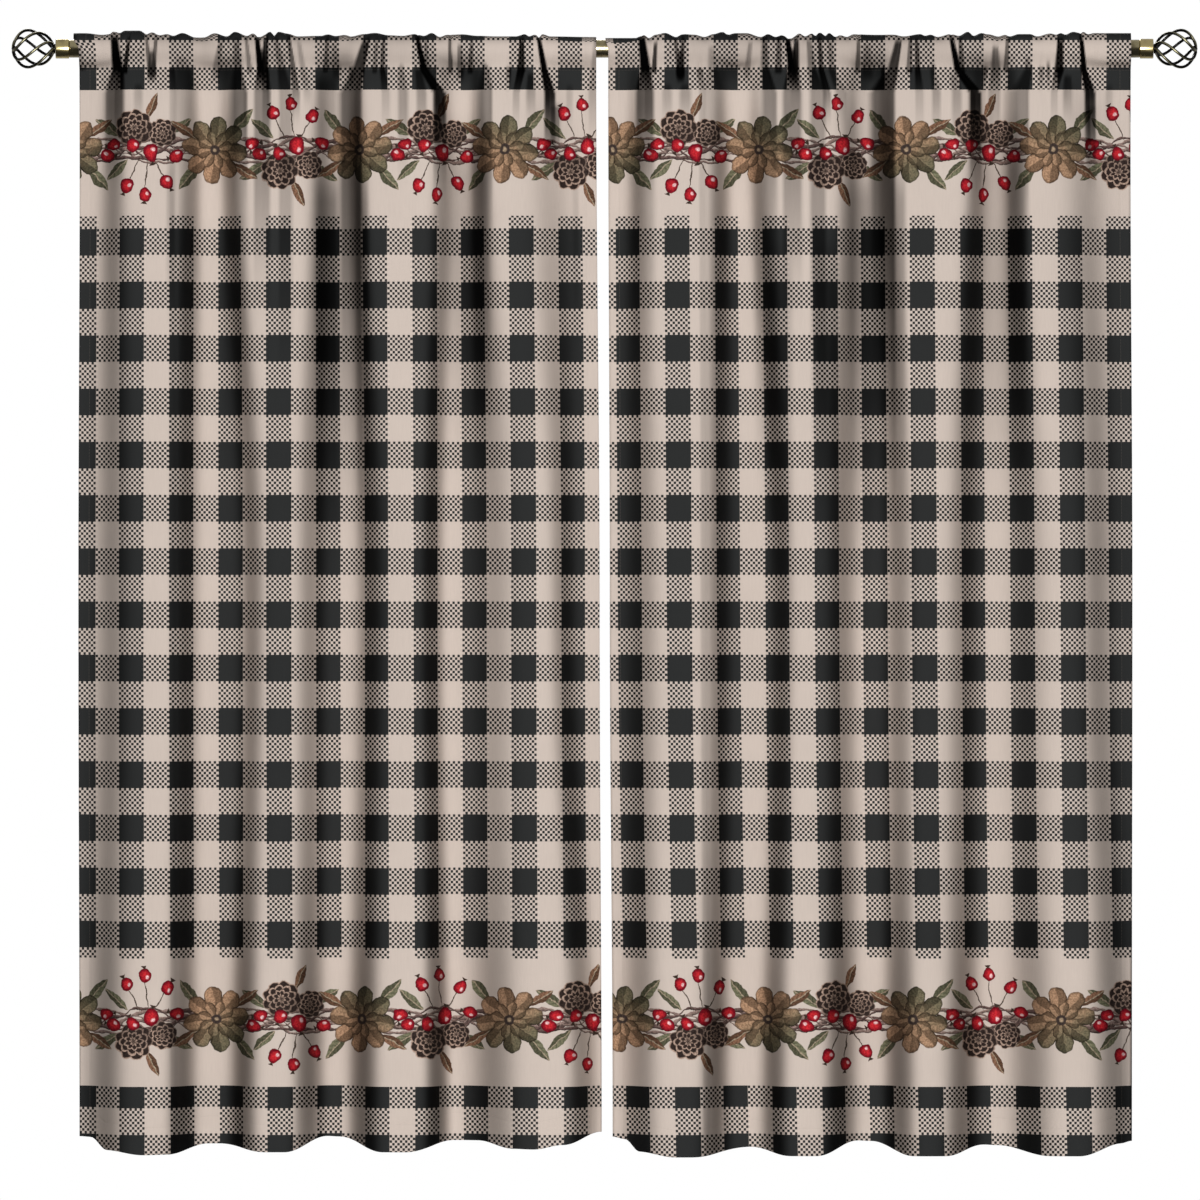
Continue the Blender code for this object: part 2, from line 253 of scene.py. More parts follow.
ROD_EDGE = 0.0004
INTO_COLLAR = 0.0006
rod_profile = (
    (ROD_LOW[0] - INTO_COLLAR, 0.0),
    (ROD_LOW[0] - INTO_COLLAR, ROD_RADIUS - ROD_EDGE),
    (ROD_LOW[0], ROD_RADIUS - ROD_EDGE),
    (ROD_LOW[0] + ROD_EDGE, ROD_RADIUS),
    (ROD_HIGH[0] - ROD_EDGE, ROD_RADIUS),
    (ROD_HIGH[0], ROD_RADIUS - ROD_EDGE),
    (ROD_HIGH[0] + INTO_COLLAR, ROD_RADIUS - ROD_EDGE),
    (ROD_HIGH[0] + INTO_COLLAR, 0.0),
)
rod = turned("brass_rod", rod_profile)
rod.data.materials.append(rod_brass)
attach(rod, "root")
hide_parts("rod")

# ------------------------------------------------------------------ the collars
# A short sleeve of the same plate closes each end of the rod. It is a little thicker than
# the rod, spun from sheet, with its open edge rolled over and a softly rounded end face that
# the finial stands on.

COLLAR_ROUNDING = 0.0008
collar_brass = make_brass("Antique brass, collar", (0.66, 0.54, 0.26, 1.0), 0.6, 0.13)


def collar_profile(inner, outer, radius):
    """Along the collar from the rod's end: a quarter-round, the plain wall, a quarter-round."""
    out = math.copysign(COLLAR_ROUNDING, outer - inner)
    turns = np.linspace(0.0, np.pi / 2.0, 9)
    rise = radius - COLLAR_ROUNDING * (1.0 - np.sin(turns))
    points = [(inner, 0.0)]
    points += list(zip(inner + out * (1.0 - np.cos(turns)), rise))
    points += list(zip(outer - out * (1.0 - np.cos(turns[::-1])), rise[::-1]))
    return points + [(outer, 0.0)]


for side in ("left", "right"):
    node = "collar_" + side
    low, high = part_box(node)
    inner, outer = (low[0], high[0]) if side == "right" else (high[0], low[0])
    collar = turned("brass_" + node, collar_profile(inner, outer, (high[2] - low[2]) / 2.0))
    collar.data.materials.append(collar_brass)
    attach(collar, "root")
    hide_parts(node)

# ------------------------------------------------------------------ the finials
# Six round wires are twisted into a cage, brazed into a small hub by the collar and closed
# by a bead at the far end. The cage is bronzed nearly black, and handling has rubbed the
# outer side of each wire back to brass.

WIRE_COUNT = 6
WIRE_RADIUS = 0.0013
WIRE_TWIST = math.radians(145.0)
WIRE_START = math.radians(9.5)
CAGE_FULLNESS = 0.15
NEAR_POLE = math.radians(7.5)
HUB_RADIUS = 0.0044
HUB_LENGTH = 0.0034
TIP_RADIUS = 0.0027
WIRE_STEPS = 72
WIRE_SIDES = 14
HUB_RUB = 0.45
HUB_EDGE = 0.0002
HUB_SIDES = 48
TIP_SIDES = 40


def cage_line(start, length, cage_radius, wire, share):
    """The middle line of one wire, from the hub at share 0 to the tip at share 1.

    It is a meridian of a ball that is a little fuller at its far end, and it turns about the
    rod's axis by WIRE_TWIST on its way.
    """
    meridian = NEAR_POLE + (math.pi - 2.0 * NEAR_POLE) * share
    turn = WIRE_START + 2.0 * math.pi * wire / WIRE_COUNT + WIRE_TWIST * (share - 0.5)
    radius = (cage_radius - WIRE_RADIUS) * np.sin(meridian)
    radius = radius * (1.0 - CAGE_FULLNESS * np.cos(meridian))
    along = start + length / 2.0 - (length / 2.0 - 0.5 * TIP_RADIUS) * np.cos(meridian)
    return np.stack([along, -radius * np.cos(turn), -radius * np.sin(turn)], axis=-1)


def swept(line, radius, sides):
    """A round tube along a line: rings square to the line, which start from its outward side."""
    along = np.gradient(line, axis=0)
    along /= np.linalg.norm(along, axis=1, keepdims=True)
    outward = line * (0.0, 1.0, 1.0)
    outward -= along * np.sum(outward * along, axis=1, keepdims=True)
    outward /= np.linalg.norm(outward, axis=1, keepdims=True)
    across = np.cross(along, outward)
    turn = np.linspace(0.0, 2.0 * np.pi, sides, endpoint=False)[:, None]
    spoke = outward[:, None] * np.cos(turn) + across[:, None] * np.sin(turn)
    rings = (line[:, None] + radius * spoke).reshape(-1, 3)
    here = np.arange(sides)
    last = (len(line) - 1) * sides
    caps = np.stack([here[::-1], last + here])
    rubbed = np.repeat(np.cos(turn).T, len(line), axis=0).ravel()
    return rings, walls_between(len(line), sides), caps, rubbed


def add_layer(piece, name, values):
    """Keep a number or a vector for each point of a piece, for its material to read."""
    kind, field = ("FLOAT", "value") if values.ndim == 1 else ("FLOAT_VECTOR", "vector")
    layer = piece.data.attributes.new(name, kind, "POINT")
    layer.data.foreach_set(field, values.astype(np.float32).ravel())


def attribute(tree, name, output="Fac"):
    """What each point of the piece carries under a name."""
    return add_node(tree, "Attribute", {}, output, attribute_name=name)


def make_bronzed_wire():
    """Near-black bronze whose outer side is rubbed through to brass."""
    material, tree, shader = principled("Dark bronze wire")
    mottle = noise(add_node(tree, "TexCoord", {}, "Object"), 260.0, 4.0)
    rub = stepped(mottle * 0.7 + attribute(tree, "rubbed"), 0.95, 1.4)
    connect(shader, {
        "Base Color": blended(rub, (0.008, 0.007, 0.006, 1.0), (0.27, 0.25, 0.15, 1.0)),
        "Roughness": mottle * 0.25 + 0.25,
        "Metallic": 0.9,
        "Normal": bumped(mottle, 0.0001, 0.4),
    })
    return material


bronzed_wire = make_bronzed_wire()

for side, out in (("left", -1.0), ("right", 1.0)):
    node = "finial_" + side
    low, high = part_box(node)
    start = high[0] if side == "left" else low[0]
    length = high[0] - low[0]
    cage_radius = (high[2] - low[2]) / 2.0 / (1.0 + 0.5 * CAGE_FULLNESS ** 2)
    points, walls, caps, rubs, first = [], [], [], [], 0
    for wire in range(WIRE_COUNT):
        line = cage_line(abs(start), length, cage_radius, wire, np.linspace(0.0, 1.0, WIRE_STEPS))
        tube, tube_walls, tube_caps, rubbed = swept(line, WIRE_RADIUS, WIRE_SIDES)
        points.append(tube * (out, 1.0, 1.0))
        walls.append((tube_walls + first)[:, :: int(out)])
        caps.append((tube_caps + first)[:, :: int(out)])
        rubs.append(rubbed)
        first += len(tube)
    cage = surface("wire_cage_" + side, np.concatenate(points), [np.concatenate(walls), np.concatenate(caps)])
    add_layer(cage, "rubbed", np.concatenate(rubs))

    hub_turns = np.linspace(0.0, np.pi / 2.0, 8)
    hub_profile = [(start, 0.0), (start, HUB_RADIUS - HUB_EDGE), (start + out * HUB_EDGE, HUB_RADIUS)]
    hub_profile += list(zip(
        start + out * HUB_LENGTH * (0.3 + 0.7 * np.sin(hub_turns)),
        HUB_RADIUS * np.cos(hub_turns),
    ))
    hub = turned("cage_hub_" + side, hub_profile, HUB_SIDES)
    tip_turns = np.linspace(0.0, np.pi, 17)
    tip_centre = start + out * (length - TIP_RADIUS)
    tip_profile = list(zip(
        tip_centre - out * TIP_RADIUS * np.cos(tip_turns),
        TIP_RADIUS * np.sin(tip_turns),
    ))
    tip = turned("cage_tip_" + side, tip_profile, TIP_SIDES)
    for piece in (cage, hub, tip):
        piece.data.materials.append(bronzed_wire)
        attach(piece, "root")
        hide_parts(node)
    for piece in (hub, tip):
        add_layer(piece, "rubbed", np.full(len(piece.data.vertices), HUB_RUB))

# ------------------------------------------------------------------ the cloth's fall
# Each panel is one cut of printed polyester, about 0.7 m wide and 1 m long. Its top is turned
# back and stitched into a pocket, its sides and foot are turned twice and hemmed, and it is
# pushed together on the rod, so that its heading gathers and its fall hangs in four folds.

CLOTH_THICKNESS = 0.0005
POCKET_CLEARANCE = 0.0007
PANEL_WIDTH = 0.462
PANEL_GAP = 0.0095
SHORTEST_DROP = 0.9645
LOWEST_LEVEL_ROW = 0.925
SEAM_DROP = 0.0190
POCKET_RADIUS = ROD_RADIUS + POCKET_CLEARANCE + CLOTH_THICKNESS / 2.0
POCKET_BULGE = 1.2
BACK_SLACKNESS = 0.45
CORNER_REACH = 0.024
FOLD_DEPTH = 0.028
FLANK_STEEPNESS = 3.2
HELD_BACK = 0.75
OPENING_DROP = 0.08
GATHERS_END = 0.16
OPENED_AT_FOOT = 0.3
FOOT_OPENS_FROM = 0.55
PUFF_AT_SEAM = 0.9
PUFFS_SMOOTHED_OVER = 0.022
PUFF_STEPS = 925
CREASE_LEVEL = 39.0
DEEPEST_CREASE = 0.0055
CREASE_FIT = 0.9
CREASE_TOP_WIDTH = 0.55
CREASE_ROUNDING = 1.6
CREASE_FILLS = 0.8
SHADOW_PLATEAU = 1.6
FADES_FROM = 0.2
CLOSEST_TO_LINE = -0.0003
# FLANK_SHADE to REVERSE_SHADE: how strongly painted shade darkens the cloth's colour on steep flanks, near
# the side edges, on the black print and on the reverse
FLANK_SHADE = 0.5
FLANK_SHADE_ABOVE = 0.3
FLANK_SHADE_GAINED = 0.9
FLANK_SHADE_FROM = 0.66
OPEN_EDGE = 0.06
INK_SHADE = 0.8
REVERSE_SHADE = 0.3
BAND_TOPS = (0.0368, 0.8093)
BAND_FEET = (0.1490, 0.9233)
HEM_DEPTH = 0.026
HEM_ROWS = (0.0, 0.0008, 0.0025, 0.006, 0.012, 0.019, 0.0252, 0.0266, 0.033)
SIDE_HEM = 0.011
SEAM_ALLOWANCE = 0.004
HEM_THICKENING = 1.6 * CLOTH_THICKNESS
CROTCH_LIFT = 0.0006
HEADING_LIFT = 0.0014
COLUMNS = 350
COLUMNS_DRAWN_IN = 2.0
CREASE_PULL = 4.0
POCKET_ROWS = 40
ARC_SHARE = 0.06
MAP_MARGIN = 0.004
MAP_FACE = 0.639
MAP_TUNNEL = 0.643
MAP_STRIP = 0.005
MAP_LEFT_EDGE = 0.6505
MAP_RIGHT_EDGE = 0.6545
MAP_EDGE = 0.0016
MAP_BACK = 0.66

# The depth of the cloth at its left edge, 1 towards the room and -1 towards the window
FOLD_STARTS = {"left": -0.85, "right": -0.80}

# One row for each flank, where the cloth turns from a trough to a crest or back: its middle
# from the panel's left edge at the heading, half way down and at the hem, its width at the
# heading and at the hem (mm), and the depth of what follows to its right
FLANKS = {
    "left": (
        # head, middle,  hem,  wide,  wide, depth
        (30.0,   30.0,   22.0,  30.0,  46.0,  1.00),
        (100.0,  96.0,   91.0,  22.0,  30.0, -0.80),
        (134.0,  154.0,  145.0, 24.0,  30.0,  0.85),
        (216.0,  207.0,  203.0, 26.0,  32.0, -1.00),
        (247.0,  258.0,  251.0, 20.0,  32.0,  0.90),
        (327.0,  314.0,  317.0, 26.0,  24.0, -0.85),
        (356.0,  367.0,  366.0, 20.0,  60.0,  0.95),
        (420.0,  430.0,  447.0, 64.0,  30.0, -0.80),
    ),
    "right": (
        (25.0,   28.0,   23.0,  24.0,  42.0,  1.00),
        (99.0,   96.0,   91.0,  22.0,  30.0, -0.75),
        (130.0,  152.0,  143.0, 24.0,  28.0,  0.80),
        (214.0,  205.0,  203.0, 26.0,  36.0, -1.00),
        (245.0,  255.0,  255.0, 20.0,  32.0,  0.95),
        (327.0,  313.0,  311.0, 24.0,  40.0, -0.80),
        (355.0,  369.0,  372.0, 20.0,  56.0,  1.00),
        (421.0,  431.0,  447.0, 60.0,  46.0, -0.80),
    ),
}

# How far the hem hangs below the rod's axis at its highest and lowest points (mm, mm)
HEM_WAVES = {
    "left": (
        (0, 968.5), (10, 969), (25, 980), (57, 984), (79, 983.5), (114, 975), (124, 975),
        (165, 981.5), (182, 981.5), (219, 968.5), (230, 969), (269, 981.5), (289, 981.5),
        (331, 972), (353, 972), (384, 978.5), (402, 979), (428, 975), (462, 964.5),
    ),
    "right": (
        (0, 969), (11, 971), (24, 981.5), (56, 986), (70, 986), (123, 978), (158, 985),
        (181, 985), (218, 972.5), (230, 973), (267, 985), (296, 985), (330, 976), (342, 976.5),
        (388, 985), (414, 985), (452, 974.5), (462, 972.5),
    ),
}

# How far each side edge hangs off its plumb line at the heading, half way and at the hem (mm)
SIDE_DRIFTS = {
    "left": ((-0.6, -2.0, -1.0), (-2.6, 0.4, 2.1)),
    "right": ((-1.4, 0.0, 2.6), (1.6, 3.6, 3.0)),
}

# How high the heading stands above the rod's axis at its gathers and between them (mm, mm)
HEADING_TOPS = {
    "left": (
        (0, 14), (9, 14), (21, 12.5), (27, 13), (31, 16), (36, 14), (41, 16), (54, 16), (60, 13),
        (65, 14.5), (72, 12), (78, 13), (84, 11.5), (92, 14), (104, 10), (111, 10), (121, 14),
        (132, 11), (139, 15), (150, 11.5), (155, 13.5), (161, 10.5), (171, 15), (174, 11.5),
        (178, 15), (186, 13.5), (195, 11), (216, 11.5), (222, 13), (229, 11.5), (237, 12.5),
        (243, 11), (254, 13), (264, 14), (277, 12), (289, 11.5), (300, 13), (308, 11.5),
        (315, 14), (322, 10.5), (329, 12.5), (342, 13), (357, 11.5), (372, 11), (390, 11),
        (398, 13), (402, 11), (407, 12.5), (411, 10.5), (414, 13), (421, 11), (462, 10.5),
    ),
    "right": (
        (0, 9.5), (24, 9.5), (31, 12.5), (36, 9.5), (42, 12.5), (50, 14), (60, 10.5), (66, 13),
        (76, 12.5), (85, 10.5), (93, 13), (101, 15), (106, 12.5), (112, 14), (122, 14),
        (135, 10.5), (141, 13), (148, 10.5), (153, 12), (161, 9), (169, 13.5), (174, 11),
        (180, 13.5), (183, 11.5), (187, 14.5), (192, 11.5), (195, 14), (201, 10.5), (205, 12),
        (211, 10.5), (217, 13), (240, 12.5), (252, 12.5), (261, 11), (276, 13), (280, 11.5),
        (285, 12.5), (291, 10.5), (303, 13), (310, 11.5), (318, 15), (323, 11.5), (330, 14),
        (336, 13), (345, 11), (351, 12.5), (355, 11), (363, 13), (373, 13), (379, 11),
        (391, 13.5), (396, 12.5), (400, 14), (404, 12.5), (411, 15), (417, 14), (420, 15),
        (424, 13), (430, 14), (462, 14),
    ),
}

# One row for each crease of the heading: its place across at its top, at the seam and at
# CREASE_LEVEL, the drops of its top and foot, its half width at the seam and at CREASE_LEVEL
# (all mm), where its floor lies, from -1, its left rim, to 1, and how dark the shade painted
# into it is, 0 to 1, at the seam and at CREASE_LEVEL. Dark creases are deep.
CREASES = {
    "left": (
        (0, 1, 1, -14, 20, 6.0, 4.0, 0.0, 0.35, 0.00),
        (31, 34.5, 31.7, -14, 140, 7.0, 11.4, 0.0, 1.00, 0.80),
        (45, 41.0, 40.5, -10, 24, 3.0, 3.0, 0.0, 0.95, 0.20),
        (54, 53.0, 53.0, 30, 75, 4.0, 6.0, 0.0, 0.30, 0.35),
        (60, 63.0, 65.0, -12, 34, 3.0, 5.0, 0.0, 0.75, 0.30),
        (65, 65.0, 65.5, 0, 30, 5.0, 5.0, 0.0, 0.80, 0.30),
        (69, 66.5, 65.5, -12, 34, 3.0, 5.0, 0.0, 0.75, 0.30),
        (80, 83.0, 84.0, -9, 16, 3.4, 4.0, 0.0, 0.60, 0.20),
        (90, 93.0, 93.0, 6, 130, 11.0, 15.0, 0.0, 0.40, 0.30),
        (127, 122.0, 120.0, -8, 34, 5.0, 5.0, 0.0, 0.50, 0.20),
        (140, 141.0, 142.0, -10, 160, 5.0, 10.5, 0.5, 0.60, 0.72),
        (149, 152.0, 151.5, -12, 24, 3.2, 2.6, 0.3, 0.60, 0.10),
        (158.5, 162.0, 163.5, -13, 260, 4.2, 9.5, 0.0, 1.00, 0.58),
        (163, 163.5, 163.5, -2, 36, 6.0, 7.0, 0.0, 0.90, 0.30),
        (167, 166.0, 167.5, -12, 90, 4.2, 5.0, 0.0, 0.95, 0.50),
        (176, 181.0, 185.0, -10, 330, 5.0, 8.5, -0.2, 0.55, 0.40),
        (187, 191.0, 193.5, -12, 75, 3.2, 4.6, 0.3, 0.80, 0.62),
        (196, 200.0, 204.0, -8, 60, 4.0, 5.0, 0.0, 0.40, 0.35),
        (222, 220.0, 219.0, -12, 22, 3.0, 3.0, 0.0, 0.65, 0.20),
        (228, 230.0, 230.0, -6, 30, 5.0, 5.0, 0.0, 0.35, 0.30),
        (244, 242.5, 242.0, -12, 14, 2.6, 2.0, 0.2, 0.70, 0.00),
        (257, 249.0, 241.5, -10, 480, 7.5, 13.6, 0.4, 0.92, 0.80),
        (266, 264.0, 264.0, -10, 24, 3.0, 3.0, 0.0, 0.55, 0.00),
        (272, 271.0, 274.0, -10, 90, 3.0, 5.0, 0.0, 0.75, 0.28),
        (288, 287.5, 289.5, 12, 130, 3.5, 6.5, 0.0, 0.50, 0.46),
        (301.5, 308.0, 322.0, -13, 150, 4.2, 7.6, 0.0, 1.00, 0.98),
        (303, 303.0, 306.0, 16, 100, 4.0, 6.5, 0.0, 0.50, 0.48),
        (309.5, 311.0, 312.0, -10, 22, 3.5, 3.0, 0.0, 0.55, 0.00),
        (331, 331.5, 330.0, -12, 24, 2.8, 2.5, 0.4, 0.80, 0.00),
        (340, 340.5, 340.0, -6, 34, 4.0, 4.0, 0.0, 0.65, 0.20),
        (351, 349.5, 349.0, -8, 24, 3.0, 3.0, 0.0, 0.70, 0.00),
        (360, 363.0, 362.0, 10, 190, 5.0, 8.5, 0.6, 0.60, 0.58),
        (384, 384.0, 383.0, -11, 14, 3.0, 3.0, 0.0, 0.65, 0.00),
        (395.5, 395.0, 390.5, -11, 80, 4.6, 4.0, 0.0, 0.95, 0.38),
        (404, 404.0, 403.5, 20, 75, 4.0, 6.0, 0.0, 0.50, 0.48),
        (410, 415.5, 420.5, -13, 120, 4.0, 6.6, 0.0, 1.00, 0.98),
        (425, 425.0, 425.0, 48, 120, 5.0, 6.0, 0.0, 0.70, 0.70),
        (438, 438.0, 438.0, 30, 80, 3.0, 4.5, 0.0, 0.20, 0.28),
        (462, 460.0, 459.0, -14, 90, 4.0, 6.0, 0.0, 0.40, 0.38),
    ),
    "right": (
        (29, 33.0, 32.5, -14, 140, 6.5, 10.4, 0.0, 1.00, 0.82),
        (42, 40.5, 40.0, -8, 24, 3.0, 3.0, 0.0, 0.92, 0.20),
        (52, 52.0, 52.0, 30, 75, 4.0, 6.5, 0.0, 0.35, 0.35),
        (59, 62.5, 64.0, -12, 34, 3.0, 5.0, 0.0, 0.70, 0.30),
        (64, 63.5, 64.0, 0, 30, 5.0, 5.0, 0.0, 0.75, 0.30),
        (66, 65.0, 64.0, -12, 34, 3.0, 5.0, 0.0, 0.80, 0.30),
        (68, 68.0, 68.0, 30, 75, 4.0, 7.5, 0.0, 0.40, 0.42),
        (79.5, 81.0, 83.0, -10, 18, 3.6, 4.0, 0.0, 0.70, 0.20),
        (91, 92.0, 92.0, -4, 130, 6.0, 14.0, 0.0, 0.40, 0.25),
        (126, 123.0, 122.0, -8, 34, 4.0, 4.0, 0.0, 0.50, 0.20),
        (138, 138.0, 142.0, -12, 160, 5.5, 9.0, 0.3, 0.65, 0.60),
        (151, 150.5, 150.0, -12, 24, 4.2, 3.0, 0.0, 0.65, 0.10),
        (158, 162.0, 162.5, -13, 260, 4.5, 11.0, 0.0, 1.00, 0.58),
        (162.5, 163.0, 163.0, -2, 36, 6.5, 7.0, 0.0, 0.90, 0.30),
        (166.5, 165.5, 166.0, -12, 60, 4.5, 6.0, 0.0, 0.95, 0.30),
        (177, 180.0, 185.0, -10, 420, 5.0, 9.5, 0.0, 0.65, 0.48),
        (186.5, 188.0, 193.0, -12, 80, 3.2, 4.6, 0.3, 0.85, 0.65),
        (195.5, 197.5, 206.0, -10, 80, 4.0, 7.0, 0.0, 0.50, 0.42),
        (221.5, 220.5, 219.0, -12, 24, 3.2, 4.0, 0.0, 0.75, 0.30),
        (229, 229.0, 229.0, -6, 32, 7.0, 7.0, 0.0, 0.40, 0.30),
        (243.5, 243.0, 243.0, -12, 12, 2.4, 2.0, 0.2, 0.70, 0.00),
        (257, 251.0, 241.5, -10, 480, 6.5, 14.6, 0.4, 0.92, 0.80),
        (267, 266.0, 265.0, -10, 24, 3.6, 3.0, 0.0, 0.70, 0.00),
        (272.5, 273.5, 275.0, -10, 90, 3.2, 5.0, 0.0, 0.80, 0.28),
        (287, 287.0, 290.0, 10, 90, 3.5, 5.5, 0.0, 0.45, 0.45),
        (302.5, 309.0, 324.5, -13, 150, 4.3, 7.2, 0.0, 1.00, 0.98),
        (304, 305.0, 308.0, 20, 100, 5.0, 6.5, 0.0, 0.40, 0.45),
        (311, 312.5, 314.0, -10, 24, 4.0, 3.0, 0.0, 0.70, 0.00),
        (334.5, 333.5, 332.0, -12, 14, 3.0, 2.5, 0.4, 0.80, 0.00),
        (342, 342.5, 341.5, -4, 110, 6.0, 7.5, 0.0, 0.70, 0.42),
        (353, 351.5, 350.0, -12, 22, 3.2, 2.5, 0.2, 0.75, 0.00),
        (370, 370.5, 363.0, 6, 190, 4.5, 10.5, 0.6, 0.50, 0.56),
        (384, 383.0, 382.0, -10, 14, 3.0, 3.0, 0.0, 0.60, 0.00),
        (388.5, 389.0, 389.0, -12, 8, 2.2, 2.0, 0.0, 0.70, 0.00),
        (399.5, 398.5, 394.0, -11, 80, 5.5, 4.0, 0.0, 0.97, 0.30),
        (406, 406.0, 406.0, 22, 75, 4.0, 6.0, 0.0, 0.50, 0.46),
        (417.5, 420.5, 426.0, -13, 120, 3.6, 6.6, 0.0, 1.00, 0.98),
        (427, 427.0, 427.0, 48, 140, 5.0, 6.0, 0.0, 0.65, 0.65),
        (443, 443.0, 443.0, 30, 80, 3.0, 5.0, 0.0, 0.20, 0.28),
    ),
}

# One row for each soft shadow painted on the cloth, where the gathers keep the light off it
# below: its middle, the drops where it starts, is full and ends, its half width (mm) and how dark it is
SHADOWS = {
    "left": (
        (185, -30, -20, 45, 205, 0.18), (135, 0, 14, 38, 16, 0.28), (232, -10, 10, 40, 18, 0.30),
        (330, -4, 12, 36, 34, 0.30), (97, 50, 110, 330, 14, 0.20), (139, 50, 120, 420, 16, 0.22),
        (221, 20, 34, 150, 13, 0.38), (221, 90, 140, 520, 15, 0.66), (253, 90, 140, 520, 8, 0.40),
        (82, 80, 120, 260, 5, 0.28), (348, 50, 120, 420, 26, 0.36), (359, 50, 120, 420, 11, 0.40),
        (443, 70, 110, 300, 4, 0.18),
    ),
    "right": (
        (185, -30, -20, 45, 205, 0.20), (105, 0, 14, 36, 22, 0.20), (232, -10, 12, 40, 22, 0.30),
        (330, -4, 12, 36, 34, 0.28), (31, 60, 110, 300, 14, 0.30), (97, 50, 110, 330, 14, 0.15),
        (139, 50, 120, 440, 14, 0.35), (191, 150, 210, 480, 14, 0.38),
        (150, 150, 220, 500, 16, 0.30), (221, 20, 34, 150, 13, 0.15), (222, 90, 140, 520, 15, 0.50),
        (256, 90, 140, 440, 9, 0.45), (348, 50, 120, 460, 26, 0.32), (361, 50, 120, 460, 11, 0.45),
    ),
}


def eased(start, end, value):
    """Half a cosine wave, from 0 at start to 1 at end."""
    share = np.clip((value - start) / (end - start), 0.0, 1.0)
    return 0.5 - 0.5 * np.cos(np.pi * share)


def bowed(early, middle, late, share):
    """Go from early through middle, half way, to late, easing at each."""
    return early + (middle - early) * eased(0.0, 0.5, share) + (late - middle) * eased(0.5, 1.0, share)


def fold_depth(side, across, share):
    """How far the folds stand to the room, -1 to 1: each flank adds a soft tanh step."""
    depth = before = FOLD_STARTS[side]
    for head, middle, hem, head_width, hem_width, after in FLANKS[side]:
        place = bowed(head, middle, hem, share) / 1000.0
        width = bowed(head_width, hem_width, hem_width, share) / 1000.0
        gone = 0.5 + 0.5 * np.tanh(FLANK_STEEPNESS * (across - place) / width)
        depth = depth + (after - before) * gone
        before = after
    return depth


def waved(points, across):
    """Half a cosine wave from each (mm across, mm) point to the next, in metres."""
    value = points[0][1]
    for (start, before), (end, after) in zip(points, points[1:]):
        value = value + (after - before) * eased(start / 1000.0, end / 1000.0, across)
    return value / 1000.0


def side_drift(side, across, share):
    """How far the cloth hangs off plumb, from the left edge's drift to the right edge's."""
    left_edge, right_edge = (bowed(*drifts, share) / 1000.0 for drifts in SIDE_DRIFTS[side])
    return left_edge + (right_edge - left_edge) * across / PANEL_WIDTH


def puffs(side, across):
    """How far the gathers stand off the pocket's line at its top, and more smoothly in front."""
    fine = np.linspace(0.0, PANEL_WIDTH, PUFF_STEPS)
    top = waved(HEADING_TOPS[side], fine) - POCKET_RADIUS - CLOTH_THICKNESS / 2.0
    box = np.ones(int(PUFF_STEPS * PUFFS_SMOOTHED_OVER / PANEL_WIDTH))
    smooth = np.convolve(top, box, "same") / np.convolve(np.ones_like(top), box, "same")
    return np.interp(across, fine, top), np.interp(across, fine, smooth)


def creased(side, across, drop):
    """How deep the creases sink the cloth (m), and the share of light left by the shade painted into them.

    Each crease has two straight walls that meet in its floor. Its line runs straight from its
    top to the seam, and on to CREASE_LEVEL, and it fades towards its foot.
    """
    down = drop * 1000.0
    seam = SEAM_DROP * 1000.0
    depth, light = 0.0, 1.0
    for crease in CREASES[side]:
        top_x, seam_x, level_x, top, foot, half_seam, half_level, floor, dark, dark_low = crease
        levels = np.maximum.accumulate([top, seam, CREASE_LEVEL])
        middle = np.interp(down, levels, [top_x, seam_x, level_x])
        halves = [CREASE_TOP_WIDTH * half_seam, half_seam, half_level]
        half = CREASE_FIT * np.interp(down, levels, halves)
        beside = (across * 1000.0 - middle) / half
        walls = np.minimum((beside + 1.0) / (1.0 + floor), (1.0 - beside) / (1.0 - floor))
        walls = np.clip(walls, 0.0, 1.0)
        strength = np.interp(down, levels, [dark, dark, dark_low]) * eased(top - 1.0, top + 6.0, down)
        fading = levels[1] + FADES_FROM * (foot - levels[1])
        strength = strength * (1.0 - eased(fading, foot, down))
        depth = depth + DEEPEST_CREASE * strength ** 2 * walls ** CREASE_ROUNDING
        # Painted shade: each crease darkens the cloth's colour, most towards its floor
        light = light * (1.0 - strength * np.minimum((1.2 + 1.8 * dark) * walls, 1.0))
    return depth, light


def shadowed(side, across, drop):
    """The share of light left by the soft shadows painted on the cloth under the gathers."""
    light = 1.0
    for middle, start, full, end, half, dark in SHADOWS[side]:
        beside = np.abs(across * 1000.0 - middle) / half
        near = np.clip(SHADOW_PLATEAU - SHADOW_PLATEAU * beside, 0.0, 1.0)
        down = drop * 1000.0
        begun = eased(start, full, down) * (1.0 - eased(full + FADES_FROM * (end - full), end, down))
        # Painted shadow: darkens the cloth's colour below the gathers
        light = light * (1.0 - dark * begun * eased(0.0, 1.0, near))
    return light


def folded(side, across, drop):
    """How far the main folds stand towards the room: they open downwards, once more at the foot."""
    share = (drop - SEAM_DROP) / (SHORTEST_DROP - SEAM_DROP)
    opened = 1.0 - HELD_BACK * np.exp(-(drop - SEAM_DROP) / OPENING_DROP)
    opened = opened + OPENED_AT_FOOT * eased(FOOT_OPENS_FROM, 1.0, share)
    return FOLD_DEPTH * opened * fold_depth(side, across, share)


